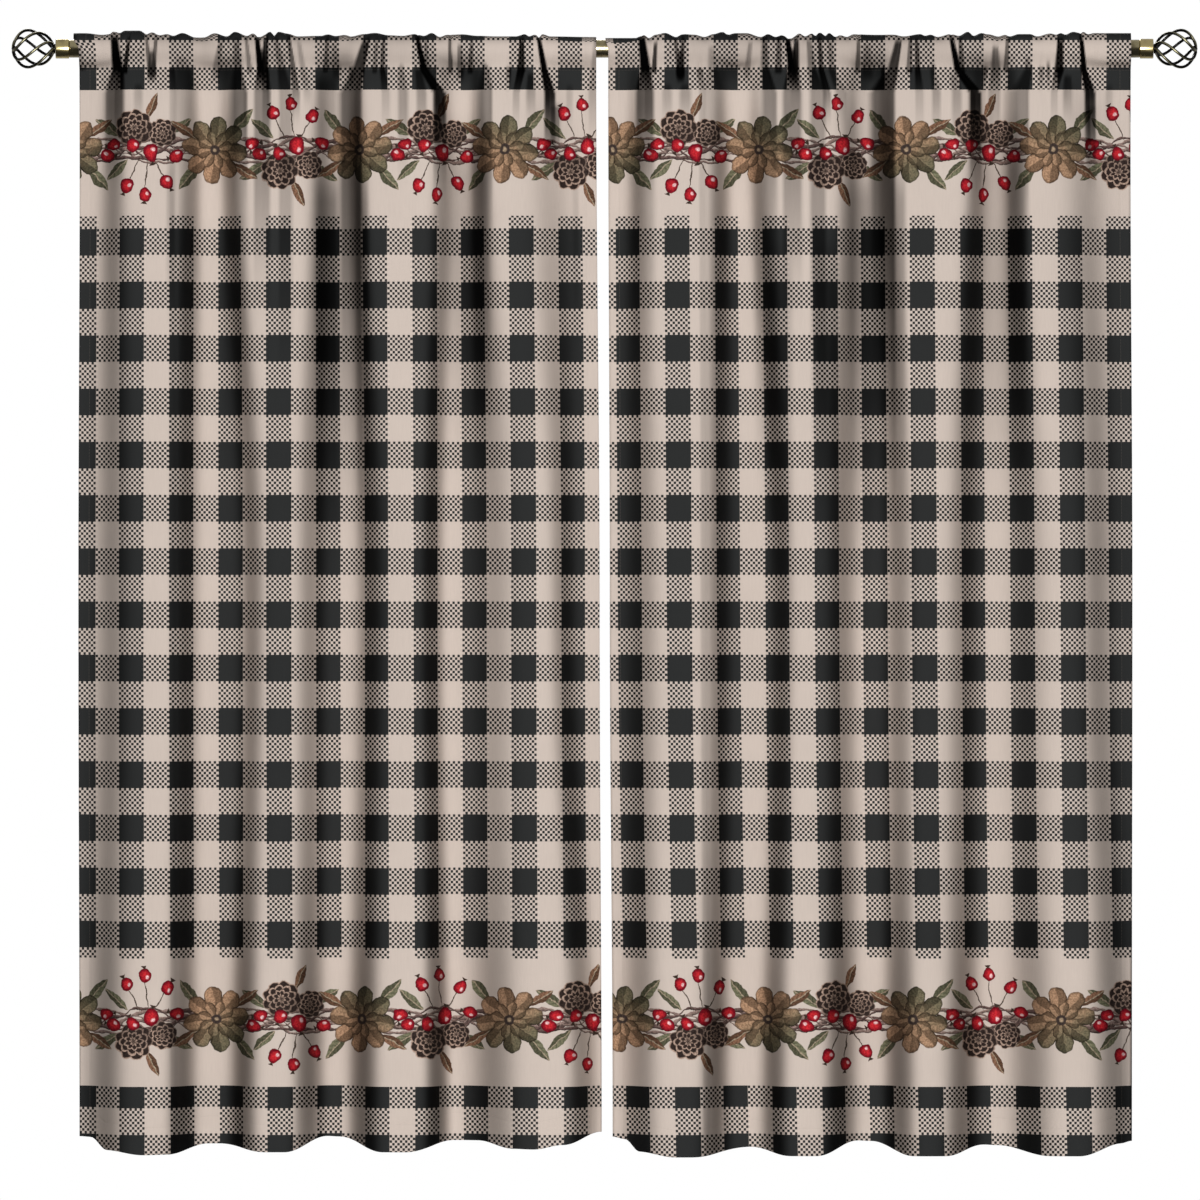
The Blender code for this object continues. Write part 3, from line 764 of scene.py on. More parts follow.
def hanging_cloth(side, left, across, drop, with_creases=1.0):
    """The middle of the cloth below the seam: (x, y, z) arrays over the columns and the drops.

    It stands forward by the folds and by the gathers' puffs, less the creases.
    """
    share = (drop - SEAM_DROP) / (SHORTEST_DROP - SEAM_DROP)
    smooth = puffs(side, across)[1] * PUFF_AT_SEAM * (1.0 - eased(SEAM_DROP, GATHERS_END, drop))
    forward = folded(side, across, drop) + smooth
    forward = forward - with_creases * creased(side, across, drop)[0]
    plumb = left + across + side_drift(side, across, share)
    return np.stack(np.broadcast_arrays(plumb, -forward, -drop), axis=-1)


def pocket_cloth(side, seam, across, rows, corner, with_creases=1.0):
    """The middle of the cloth round the rod: up the front from the seam, over, down the back.

    The line is a drop shape, two tangents from the seam to a circle round the rod and the arc
    between them. The puffs stand off it, most in front, less the creases. The left corner is
    drawn out along the rod.
    """
    reach = np.hypot(seam[:, 1], seam[:, 2])
    seam_turn = np.arctan2(-seam[:, 1], -seam[:, 2])
    tangent_turn = np.arccos(POCKET_RADIUS / reach)
    straight = np.sqrt(reach ** 2 - POCKET_RADIUS ** 2)
    arc = POCKET_RADIUS * (2.0 * np.pi - 2.0 * tangent_turn)
    whole = 2.0 * straight + arc
    walked = np.linspace(0.0, 1.0, rows + 1)[:, None] * whole
    turn = seam_turn + tangent_turn + np.clip(walked - straight, 0.0, arc) / POCKET_RADIUS
    outward = np.stack([np.zeros_like(turn), -np.sin(turn), -np.cos(turn)], axis=-1)
    up_front = np.clip(1.0 - walked / straight, 0.0, 1.0)
    down_back = np.clip((walked - straight - arc) / straight, 0.0, 1.0)
    on_circle = outward * POCKET_RADIUS
    to_seam = (seam * (0.0, 1.0, 1.0) - on_circle) * (up_front + down_back)[..., None]
    base = on_circle + to_seam
    behind = eased(0.4, 0.8, walked / whole)
    on_top = eased(0.3 * POCKET_RADIUS, POCKET_RADIUS, base[..., 2])
    top_puff, front_puff = puffs(side, across)
    bulge = 1.0 + POCKET_BULGE * np.maximum(np.sin(turn), 0.0) ** 2
    puff = (front_puff + (top_puff - front_puff) * on_top) * bulge * (1.0 - BACK_SLACKNESS * behind)
    sunk = with_creases * creased(side, across, -base[..., 2])[0]
    sunk = sunk * (1.0 - behind) * (1.0 - CREASE_FILLS * on_top)
    puff = np.maximum(puff - sunk, CLOSEST_TO_LINE)
    puff = puff * (1.0 - eased(0.0, 1.0, up_front)) * (1.0 - eased(0.0, 0.8, down_back))
    cloth = base + outward * puff[..., None]
    near_edge = 1.0 - eased(0.0, CORNER_REACH, across)
    pulled = corner * near_edge * eased(-0.2 * POCKET_RADIUS, POCKET_RADIUS, cloth[..., 2])
    cloth[..., 0] = seam[:, 0] - pulled
    return cloth


def cloth_drops(hem):
    """The drops of the cloth's rows, from the hem up to the seam, for each column's hem.

    The first run along the hem's waves, at the heights of HEM_ROWS. Above them the rows are
    level, and some lie on the bands' edges.
    """
    foot_rows = hem - np.array(HEM_ROWS)[:, None]
    level = np.concatenate([
        [LOWEST_LEVEL_ROW],
        np.linspace(BAND_FEET[1], BAND_TOPS[1], 11),
        np.linspace(BAND_TOPS[1], BAND_FEET[0], 34)[1:],
        np.linspace(BAND_FEET[0], BAND_TOPS[0], 36)[1:],
        np.linspace(BAND_TOPS[0], SEAM_DROP, 12)[1:],
    ])
    return np.concatenate([foot_rows, np.repeat(level[:, None], len(hem), axis=1)])


def column_places(side):
    """The columns' distances from the left edge, closer together by the creases."""
    fine = np.linspace(0.0, PANEL_WIDTH, 4000)
    near = np.zeros_like(fine)
    for crease in CREASES[side]:
        for place in crease[:3]:
            beside = (fine * 1000.0 - place) / CREASE_PULL
            near = np.maximum(near, crease[8] * np.exp(-(beside ** 2)))
    passed = np.concatenate([[0.0], np.cumsum((1.0 + COLUMNS_DRAWN_IN * near)[1:])])
    return np.interp(np.linspace(0.0, passed[-1], COLUMNS + 1), passed, fine)


def outward_normals(grid):
    """Unit normals of a grid of points, from its differences along rows and columns."""
    up = np.gradient(grid, axis=0)
    across = np.gradient(grid, axis=1)
    normal = np.cross(across, up)
    return normal / np.linalg.norm(normal, axis=-1, keepdims=True)


def charted(left, right, share, start, end):
    """The flat places of rows of quads: from left to right by share, each row from start to end."""
    here = left + (right - left) * share[:-1]
    there = left + (right - left) * share[1:]
    places = np.broadcast_arrays(here, there, there, here, start, start, end, end)
    return np.stack([np.stack(places[:4], axis=-1), np.stack(places[4:], axis=-1)], axis=-1)


def sheet_faces(tail_rows, outer_rows, inner_rows):
    """The faces of a panel: the outer skin, the inner skin, and the left and the right edge.

    A row has COLUMNS + 1 points, and each skin's last row joins its first. All quads are listed
    so that they split along the same diagonal, or the skins would cross in the steepest creases.
    """
    columns = COLUMNS + 1
    first_inner = outer_rows * columns
    front_rows = outer_rows - tail_rows

    def strips(first, rows):
        """The quads between each row of points and the next, the last row and the first too."""
        row = np.arange(rows)[:, None]
        here = first + row * columns + np.arange(COLUMNS)
        there = first + ((row + 1) % rows) * columns + np.arange(COLUMNS)
        return np.stack([here, here + 1, there + 1, there], axis=-1)

    def edge_faces(column):
        """The narrow quads that close the sheet at one side edge, and the seam's triangle."""
        front = np.arange(tail_rows) * columns + column
        rear = (outer_rows - 1 - np.arange(tail_rows)) * columns + column
        flat = np.stack([front[:-1], front[1:], rear[1:], rear[:-1]], axis=-1)
        loop_out = np.append(np.arange(tail_rows - 1, front_rows) * columns + column, rear[-1])
        loop_in = first_inner + np.arange(inner_rows) * columns + column
        loop_in = np.append(loop_in, loop_in[0])
        ring = np.stack([loop_out[:-1], loop_out[1:], loop_in[1:], loop_in[:-1]], axis=-1)
        joint = np.array([[front[-1], loop_in[0], rear[-1]]])
        edge = np.concatenate([flat, ring])
        return (edge, joint) if column == 0 else (edge[:, ::-1], joint[:, ::-1])

    outer = strips(0, outer_rows)
    outer[front_rows:] = np.roll(outer[front_rows:], -1, axis=-1)
    inner = np.roll(strips(first_inner, inner_rows)[..., ::-1], 1, axis=-1)
    left_edge, left_joint = edge_faces(0)
    right_edge, right_joint = edge_faces(COLUMNS)
    return outer.reshape(-1, 4), inner.reshape(-1, 4), left_edge, right_edge, left_joint, right_joint


def bake_places(across, outer, front_rows, inner_rows, edge_quads):
    """The map on which the cloth's look can be baked: a flat place for each face's corners.

    The face and the pocket lie on its left, the reverse on its right, and the tunnel and the
    side edges in strips between them.
    """
    low, high = MAP_MARGIN, 1.0 - MAP_MARGIN
    share = across / PANEL_WIDTH
    climb = np.linalg.norm(np.diff(outer, axis=0), axis=-1).mean(axis=1)
    climbed = np.concatenate([[0.0], np.cumsum(climb[:front_rows])]) / climb[:front_rows].sum()
    fallen = np.concatenate([[0.0], np.cumsum(climb[front_rows:])]) / climb[front_rows:].sum()
    up_face = low + (high - low) * climbed
    down_back = high - (high - 4.0 * low) * fallen
    starts = np.concatenate([up_face[:-1], down_back[:-1], [low]])[:, None]
    ends = np.concatenate([up_face[1:], down_back[1:], [2.0 * low]])[:, None]
    is_back = np.arange(len(starts))[:, None] >= front_rows
    left, right = np.where(is_back, MAP_BACK, low), np.where(is_back, high, MAP_FACE)
    outer_map = charted(left, right, share, starts, ends)
    outer_map[front_rows:] = np.roll(outer_map[front_rows:], -1, axis=-2)
    steps = np.linspace(low, high, inner_rows + 1)[:, None]
    inner_map = charted(MAP_TUNNEL, MAP_TUNNEL + MAP_STRIP, share, steps[:-1], steps[1:])
    inner_map = np.roll(inner_map[..., ::-1, :], 1, axis=-2)
    steps = np.linspace(low, high, edge_quads + 1)
    edge_rows = np.stack([steps[:-1], steps[1:], steps[1:], steps[:-1]], axis=-1)
    edge_columns = np.broadcast_to([0.0, 0.0, MAP_EDGE, MAP_EDGE], edge_rows.shape)
    edge_map = np.stack([edge_columns, edge_rows], axis=-1)
    joint_map = np.array([[0.0, 0.0], [MAP_EDGE, 0.0], [0.0, MAP_EDGE]])
    charts = (
        outer_map,
        inner_map,
        edge_map + (MAP_LEFT_EDGE, 0.0),
        edge_map[:, ::-1] + (MAP_RIGHT_EDGE, 0.0),
        joint_map + (MAP_LEFT_EDGE, 0.0),
        joint_map[::-1] + (MAP_RIGHT_EDGE, 0.0),
    )
    return np.concatenate([chart.reshape(-1, 2) for chart in charts])


def print_places(side, across, drops, pocket, past_fold):
    """Where each point lies on the cloth: across, down from the rod's axis, and 0.

    In front the rows of the print hang level, and behind the rod they follow the cloth. On the
    reverse the hems show the print past their folds, in rows along the hem.
    """
    tail_rows = len(drops)
    stretch = np.hypot(np.diff(folded(side, across, drops), axis=1), np.diff(across))
    arc = np.concatenate([np.zeros((tail_rows, 1)), np.cumsum(stretch, axis=1)], axis=1)
    on_folds = arc - arc[:, -1:] * across / PANEL_WIDTH
    on_folds = np.concatenate([on_folds, np.repeat(on_folds[-1:], POCKET_ROWS, axis=0)])
    steps = np.diff(pocket, axis=0)
    risen = np.cumsum(np.abs(steps[..., 2]), axis=0)
    walked = np.cumsum(np.linalg.norm(steps, axis=-1).mean(axis=1))[:, None]
    behind = eased(0.35, 0.5, np.linspace(0.0, 1.0, POCKET_ROWS))[:, None]
    climbed = risen * (1.0 - behind) + walked * behind
    down = np.concatenate([drops, SEAM_DROP - climbed])
    down = down + HEADING_LIFT * (1.0 - eased(BAND_TOPS[0], BAND_FEET[0], down))
    face = np.stack([across + ARC_SHARE * on_folds, down], axis=-1)
    reverse = face[:tail_rows] + past_fold
    places = np.concatenate([face[:-1], reverse[::-1], face[tail_rows - 1 : -1]]).reshape(-1, 2)
    return np.concatenate([places, np.zeros((len(places), 1))], axis=1)


def light_left(side, across, middle, normals, tail_rows):
    """The shares of light that painted shade leaves, from creases, gathers and flanks: on the ground
    and on the black print.

    Steep flanks get more painted shade towards the foot, and their black print most, but the side
    edges lie open to the light. The reverse shows little of it.
    """
    down = -middle[..., 2]
    light = creased(side, across, down)[1] * shadowed(side, across, down)
    facing = np.clip(-normals[:tail_rows, :, 1], 0.05, 1.0)
    by_foot = eased(FLANK_SHADE_FROM, BAND_FEET[1], down[:tail_rows])
    by_foot = FLANK_SHADE_ABOVE + FLANK_SHADE_GAINED * by_foot
    enclosed = eased(0.0, OPEN_EDGE, np.minimum(across, PANEL_WIDTH - across))
    # Painted shade on steep flanks, by how far they turn from the room, stronger towards the foot
    light[:tail_rows] *= facing ** (FLANK_SHADE * enclosed * by_foot)
    behind = eased(0.4, 0.6, np.linspace(0.0, 1.0, POCKET_ROWS))[:, None]
    light[tail_rows:] += (1.0 - light[tail_rows:]) * behind
    ink_painted_shade = light.copy()
    # The black print gets more painted shade on steep flanks
    ink_painted_shade[:tail_rows] *= facing ** INK_SHADE
    reverse = 1.0 - REVERSE_SHADE * (1.0 - light[:tail_rows])
    return [
        np.concatenate([face[:-1], back[::-1], face[tail_rows - 1 : -1]]).ravel()
        for face, back in ((light, reverse), (ink_painted_shade, np.ones_like(reverse)))
    ]


def face_slots(level, turned_up, turned_in, faces, outer_rows):
    """Each face's material: 0 the check, 1 a band, 2 and 3 the reverse of each."""
    tail_rows = len(level)
    edge = 0.00005
    in_band = np.zeros(tail_rows - 1, bool)
    for top, foot in zip(BAND_TOPS, BAND_FEET):
        in_band |= (level[:-1] < foot + edge) & (level[1:] > top - edge)
    face = np.where(in_band, 1, 0)[:, None] + np.zeros(COLUMNS, int)
    reverse = face + np.where(turned_up[:, None] | turned_in[None], 0, 2)
    return np.concatenate([
        face.ravel(),
        np.zeros((outer_rows - 2 * tail_rows + 1) * COLUMNS, int),
        reverse[::-1].ravel(),
        np.zeros(COLUMNS, int),
        np.full(len(faces[1]), 2),
        np.zeros(sum(len(group) for group in faces[2:]), int),
    ])


def make_panel(side, left, corner):
    """Build one panel as a closed sheet with a pocket: (the piece, its flat width and length).

    The outer skin runs up the front from the hem, round the pocket and down the back to the
    hem. The inner skin is the pocket's tunnel. The back stands off where the hems are turned.
    """
    across = column_places(side)
    hem = waved(HEM_WAVES[side], across)
    drops = cloth_drops(hem)
    tail = hanging_cloth(side, left, across, drops)
    pocket = pocket_cloth(side, tail[-1], across, POCKET_ROWS, corner)
    middle = np.concatenate([tail, pocket[1:]])
    plain_tail = hanging_cloth(side, left, across, drops, 0.0)
    plain_pocket = pocket_cloth(side, plain_tail[-1], across, POCKET_ROWS, corner, 0.0)
    normals = outward_normals(np.concatenate([plain_tail, plain_pocket[1:]]))
    tail_rows = len(tail)

    from_side = np.minimum(across, PANEL_WIDTH - across)
    from_hem = hem - drops
    side_hem = 1.0 - eased(SIDE_HEM - 0.0006, SIDE_HEM + 0.0004, from_side)
    foot_hem = 1.0 - eased(HEM_DEPTH - 0.0008, HEM_DEPTH + 0.0004, from_hem)
    under_seam = 1.0 - eased(SEAM_ALLOWANCE, SEAM_ALLOWANCE + 0.0012, drops - SEAM_DROP)
    turned_back = np.maximum(np.maximum(side_hem, foot_hem), under_seam)
    half = CLOTH_THICKNESS / 2.0
    front = middle[:-1] + normals[:-1] * half
    back = tail - normals[:tail_rows] * (half + HEM_THICKENING * turned_back)[..., None]
    tunnel = middle[tail_rows:-1] - normals[tail_rows:-1] * half
    outer = np.concatenate([front, back[::-1]])
    inner = np.concatenate([tail[-1:] + (0.0, 0.0, CROTCH_LIFT), tunnel])
    faces = sheet_faces(tail_rows, len(outer), len(inner))
    points = np.concatenate([outer, inner]).reshape(-1, 3)
    panel = surface("cloth_panel_" + side, points, faces)

    bake_map = panel.data.uv_layers.new(name="OFBake")
    places = bake_places(across, outer, len(front), len(inner), len(faces[2]))
    bake_map.data.foreach_set("uv", places.astype(np.float32).ravel())
    turned_in = np.where(across < PANEL_WIDTH / 2.0, -2.0, 2.0) * from_side * side_hem
    turned_up = (float(np.median(hem)) + from_hem - drops) * foot_hem
    past_fold = np.stack(np.broadcast_arrays(turned_in, turned_up), axis=-1)
    add_layer(panel, "on_cloth", print_places(side, across, drops, pocket, past_fold))
    from_foot = np.concatenate([from_hem, np.ones((len(middle) - tail_rows, COLUMNS + 1))])
    sewing = np.stack(np.broadcast_arrays(from_side, from_foot, -middle[..., 2]), axis=-1)
    sewing = np.concatenate([sewing[:-1], sewing[:tail_rows][::-1], sewing[tail_rows - 1 : -1]])
    add_layer(panel, "from_edges", sewing.reshape(-1, 3))
    # Painted shade, kept in point attributes for the cloth's colour: on the ground and on the black print
    shade, ink_painted_shade = light_left(side, across, middle, normals, tail_rows)
    add_layer(panel, "shade", shade)
    add_layer(panel, "ink_painted_shade", ink_painted_shade)
    in_side_hem = np.maximum(from_side[:-1], from_side[1:]) < SIDE_HEM
    level = drops[:, (COLUMNS + 1) // 2]
    slots = face_slots(level, from_hem[1:, 0] < HEM_DEPTH, in_side_hem, faces, len(outer))
    panel.data.polygons.foreach_set("material_index", slots.astype(np.int32))

    width = np.linalg.norm(np.diff(middle[tail_rows // 2], axis=0), axis=-1).sum() + 4.0 * SIDE_HEM
    round_pocket = np.linalg.norm(np.diff(pocket, axis=0), axis=-1).sum(axis=0).mean()
    length = np.median(hem) - SEAM_DROP + round_pocket + 2.0 * HEM_DEPTH + SEAM_ALLOWANCE
    return panel, float(width), float(length)


# ------------------------------------------------------------------ the cloth's print
# The cloth is printed on its face in black on tan: a buffalo check, whose half-tone squares
# are a chequer of fine dots, and two plain bands with a garland. The print shows faintly
# through on the reverse. The thread of the hems and of the pocket's seam is tan.

CHECK_ACROSS = 0.04343
CHECK_DOWN = 0.0474
CHECK_FIRST_DOWN = 0.0180
DOTS_IN_CHECK = 20.0
BLACK_ACROSS = 0.497
BLACK_DOWN = 0.502
TAN = (0.585, 0.497, 0.438, 1.0)
BLACK = (0.0255, 0.0265, 0.0265, 1.0)
REVERSE = (0.605, 0.57, 0.53, 1.0)
CHECK_SHOWS_THROUGH = 0.42
BAND_SHOWS_THROUGH = 0.35
THREAD = (0.30, 0.25, 0.215, 1.0)
THREAD_SHOWS = 0.12
STITCH = 0.0028
STITCHED_FROM_SIDE = 0.0095
STITCHED_FROM_FOOT = 0.0245
BRUSH_MARKS = 620.0
PETALS = 8.0
SCALES = 9.0
RINGS_OF_SCALES = 3.8
LEAF_VEINS = 19.0
GARLAND_REPEAT = 0.130
GARLAND_WOBBLE = 0.0045
ORIGIN = (0.0, 0.0, 0.0)


def axes_of(vector):
    """The x, y and z of a vector."""
    split = add_node(vector.tree, "SeparateXYZ", {0: vector})
    return list(values_of(split.socket.node).values())


def vector_of(x, y):
    """The vector (x, y, 0)."""
    return add_node(x.tree, "CombineXYZ", {0: x, 1: y})


def length_of(vector):
    """How long a vector is."""
    return add_node(vector.tree, "VectorMath", {0: vector}, "Value", operation="LENGTH")


def scaled(colour, share):
    """A colour made brighter or darker by a share."""
    return add_node(share.tree, "VectorMath", {0: colour, "Scale": share}, operation="SCALE")


def make_buffalo_check():
    """The black of a buffalo check: full where two black bars cross, and dots where one runs.

    The dots are the places where the sines along and down the cloth, of one dot's half wave
    each, have a product above a small threshold.
    """
    tree, given, result = new_group("Buffalo check", {"On cloth": ORIGIN}, {"Black": "Float"})
    across, down = axes_of(given["On cloth"])[:2]
    bars, waves = [], []
    for distance, pitch, black in (
        (across, CHECK_ACROSS, BLACK_ACROSS),
        (down - CHECK_FIRST_DOWN, CHECK_DOWN, BLACK_DOWN),
    ):
        bars.append(maths("LESS_THAN", maths("FRACT", distance / pitch), black))
        waves.append(maths("SINE", distance * (math.pi * DOTS_IN_CHECK / pitch)))
    dots = stepped(waves[0] * waves[1], -0.10, 0.16)
    dotted = maths("MAXIMUM", *bars) * dots
    connect(result, {"Black": maths("MAXIMUM", maths("MINIMUM", *bars), dotted)})
    return tree


def make_weave():
    """A fine plain weave: threads over and under each other, with slubs and uneven dye."""
    tree, given, result = new_group(
        "Plain weave", {"On cloth": ORIGIN, "Thread": 0.00042}, {"Height": "Float", "Tone": "Float"}
    )
    on_cloth = given["On cloth"]
    across, down = (maths("SINE", way * math.pi / given["Thread"]) for way in axes_of(on_cloth)[:2])
    slubs = add_node(tree, "Mapping", {"Vector": on_cloth, "Scale": (900.0, 60.0, 1.0)})
    slubs = noise(slubs, 1.0, 3.0)
    cloud = noise(on_cloth, 28.0, 3.0)
    connect(result, {
        "Height": slubs * 0.8 + across * down,
        "Tone": (slubs * 0.10 + 0.95) * (cloud * 0.08 + 0.96),
    })
    return tree


def make_stitches():
    """A row of lock stitches: a groove where they pull the cloth in, and a thread's dashes."""
    tree, given, result = new_group(
        "Stitches", {"From seam": 1.0, "Along": 0.0}, {"Thread": "Float", "Height": "Float"}
    )
    beside = maths("ABSOLUTE", given["From seam"])
    from_middle = maths("ABSOLUTE", maths("FRACT", given["Along"] / STITCH) - 0.5)
    thread = stepped(from_middle, 0.42, 0.36) * stepped(beside, 0.00026, 0.00018)
    groove = stepped(beside, 0.0002, 0.0022)
    connect(result, {"Thread": thread, "Height": thread * 0.5 + groove})
    return tree


def new_motif(name, tint):
    """A group that lays one motif of the garland over what is under it.

    Gives (its inputs' values, its output node, its place, x, y). The place is measured from
    the motif's centre, turned with it, in units of its size, and y points up.
    """
    inputs = {"Under": TAN, "Place": ORIGIN, "Centre": ORIGIN, "Turn": ORIGIN, "Size": (1.0, 1.0, 1.0)}
    tree, given, result = new_group(name, {**inputs, "Tint": tint}, {"Over": "Color"})
    wiring = {"Vector": "Place", "Location": "Centre", "Rotation": "Turn", "Scale": "Size"}
    wiring = {socket: given[source] for socket, source in wiring.items()}
    place = add_node(tree, "Mapping", wiring, vector_type="TEXTURE")
    return given, result, place, *axes_of(place)[:2]


def laid_over(given, result, mask, colour):
    """Finish a motif's group: its brushed colour where the mask is 1, over what is under it."""
    brushed = stepped(noise(given["Place"], BRUSH_MARKS), 0.3, 0.7, 0.66, 1.25)
    connect(result, {"Over": blended(mask, given["Under"], scaled(colour, brushed))})
    return result.id_data


def make_rosette():
    """A carved rosette: two rings of eight petals, lit on one half each, round a small eye."""
    given, result, place, x, y = new_motif("Rosette", (0.36, 0.215, 0.13, 1.0))
    radius = length_of(place)
    turns = maths("ARCTAN2", y, x) * (PETALS / (2.0 * math.pi))
    height = noise(place, 5.0, 4.0) * 0.9 + (x * -0.35 + y)
    wood = blended(stepped(height, -0.45, 1.1), (0.135, 0.118, 0.072, 1.0), given["Tint"])
    rings = []
    for reach, offset in ((1.0, 0.5), (0.56, 0.0)):
        within = maths("FRACT", turns + (PETALS + offset))
        beside = maths("ABSOLUTE", within - 0.5)
        bulge = maths("POWER", maths("COSINE", beside * math.pi), 0.62)
        inside = bulge * (0.34 * reach) + 0.66 * reach - radius
        lit = stepped(within, 0.47, 0.53, 0.52, 1.12) * stepped(beside, 0.36, 0.47, 1.0, 0.38)
        petals = scaled(wood, lit * stepped(inside, 0.0, 0.11, 0.34, 1.0))
        rings.append((petals, stepped(inside, 0.0, 0.03)))
    (outer_petals, mask), (inner_petals, in_inner) = rings
    colour = blended(in_inner, outer_petals, inner_petals)
    colour = blended(stepped(radius, 0.17, 0.13), colour, (0.05, 0.035, 0.03, 1.0))
    colour = blended(stepped(radius, 0.08, 0.03), colour, (0.36, 0.26, 0.17, 1.0))
    return laid_over(given, result, mask, colour)


def make_seed_head():
    """A dried seed head: rings of dark scales with pale rims, each ring half a scale further on."""
    given, result, place, x, y = new_motif("Seed head", (0.46, 0.32, 0.25, 1.0))
    radius = length_of(place)
    rings = radius * RINGS_OF_SCALES
    turns = maths("ARCTAN2", y, x) * (SCALES / (2.0 * math.pi)) + (maths("FLOOR", rings) * 0.5 + SCALES)
    beside = maths("ABSOLUTE", maths("FRACT", turns) - 0.5)
    bow = beside * beside * 2.2
    outward = maths("FRACT", rings) + bow
    rim = stepped(outward, 0.42, 0.66) * stepped(outward, 0.98, 0.84)
    lit = stepped(x * -0.5 + y, -1.1, 1.1, 0.35, 1.0)
    colour = blended(rim * lit, (0.032, 0.021, 0.018, 1.0), given["Tint"])
    return laid_over(given, result, stepped(bow * -0.18 + 1.0 - radius, 0.0, 0.06), colour)


def make_hip():
    """A ripe rose hip: an egg, dark at its rim, with a window's gleam and a dry crown."""
    given, result, place, x, y = new_motif("Rose hip", (0.52, 0.022, 0.03, 1.0))
    radius = length_of(vector_of(x, y * (x * 0.18 + 1.05)))
    colour = blended(stepped(radius, 0.25, 1.0), given["Tint"], (0.13, 0.004, 0.012, 1.0))
    from_gleam = length_of(vector_of(x + 0.3, y - 0.32))
    colour = blended(stepped(from_gleam, 0.34, 0.1), colour, (0.85, 0.55, 0.55, 1.0))
    crown = stepped(x * 0.9 - 0.72 - maths("ABSOLUTE", y), 0.0, 0.06) * stepped(x, 1.36, 1.28)
    colour = blended(crown, colour, (0.045, 0.03, 0.022, 1.0))
    return laid_over(given, result, maths("MAXIMUM", stepped(radius, 1.02, 0.94), crown), colour)


def make_leaf():
    """A dry leaf: two bowed sides that meet in points, one in shade, with a rib and veins."""
    given, result, place, x, y = new_motif("Leaf", (0.2, 0.17, 0.1, 1.0))
    beside = maths("ABSOLUTE", y)
    veins = maths("SINE", (x - beside * 0.35) * LEAF_VEINS)
    lit = stepped(y, -0.05, 0.05, 0.55, 1.05) * stepped(veins, -1.0, 0.4, 0.72, 1.0)
    rib = stepped(beside, 0.13, 0.05)
    colour = blended(rib, scaled(given["Tint"], lit), (0.34, 0.27, 0.19, 1.0))
    return laid_over(given, result, stepped(x * x * -1.0 + 1.0 - beside, 0.0, 0.12), colour)


def make_twig():
    """A long bent twig along the band: its line is a sine across, with a smaller one on it."""
    inputs = {"Under": TAN, "Place": ORIGIN, "Waves in repeat": 1.0, "Start": 0.0}
    inputs |= {"Height": 0.006, "Offset": 0.0, "Width": 0.0012, "Tint": (0.2, 0.13, 0.11, 1.0)}
    tree, given, result = new_group("Twig", inputs, {"Over": "Color"})
    x, y = axes_of(given["Place"])[:2]
    turns = x / (2.0 * GARLAND_REPEAT) * given["Waves in repeat"] + given["Start"]
    wave = maths("SINE", turns * (6.0 * math.pi)) * 0.18 + maths("SINE", turns * (2.0 * math.pi))
    line = wave * given["Height"] + given["Offset"]
    knots = noise(vector_of(x, given["Start"]), 90.0)
    beside = (y - line) / (given["Width"] * stepped(knots, 0.3, 0.7, 0.45, 1.35))
    lit = stepped(knots * 0.8 + beside, -0.8, 1.3, 0.3, 1.5)
    mask = stepped(maths("ABSOLUTE", beside), 1.1, 0.85)
    return laid_over(given, result, mask, scaled(given["Tint"], lit))


# The garland: a level bundle of twigs with a rosette on it at each repeat, and between the
# rosettes a spray of seed heads, leaves and hips, turned over from one repeat to the next
GARLAND_MIDDLES = tuple(0.5 * (top + foot) for top, foot in zip(BAND_TOPS, BAND_FEET))
SAGE = (0.17, 0.165, 0.10, 1.0)
RUSSET = (0.22, 0.115, 0.07, 1.0)
STEM = (0.07, 0.045, 0.038, 1.0)
GREY_TWIG = (0.21, 0.145, 0.125, 1.0)
DARK_TWIG = (0.10, 0.062, 0.055, 1.0)

# One row a twig: waves in two repeats, start, height, offset, half width (mm) and tint
TWIGS = (
    (2.0, 0.10, 6.0, 4.0, 1.5, GREY_TWIG),
    (3.0, 0.45, 6.5, -4.0, 1.5, DARK_TWIG),
    (2.0, 0.60, 8.5, 1.0, 1.8, GREY_TWIG),
    (4.0, 0.20, 5.5, 6.0, 1.1, DARK_TWIG),
    (3.0, 0.85, 7.5, -5.0, 1.5, GREY_TWIG),
    (2.0, 0.35, 9.0, 0.0, 1.4, DARK_TWIG),
    (5.0, 0.70, 5.0, 0.0, 0.9, GREY_TWIG),
    (4.0, 0.55, 7.0, -3.0, 1.2, DARK_TWIG),
)

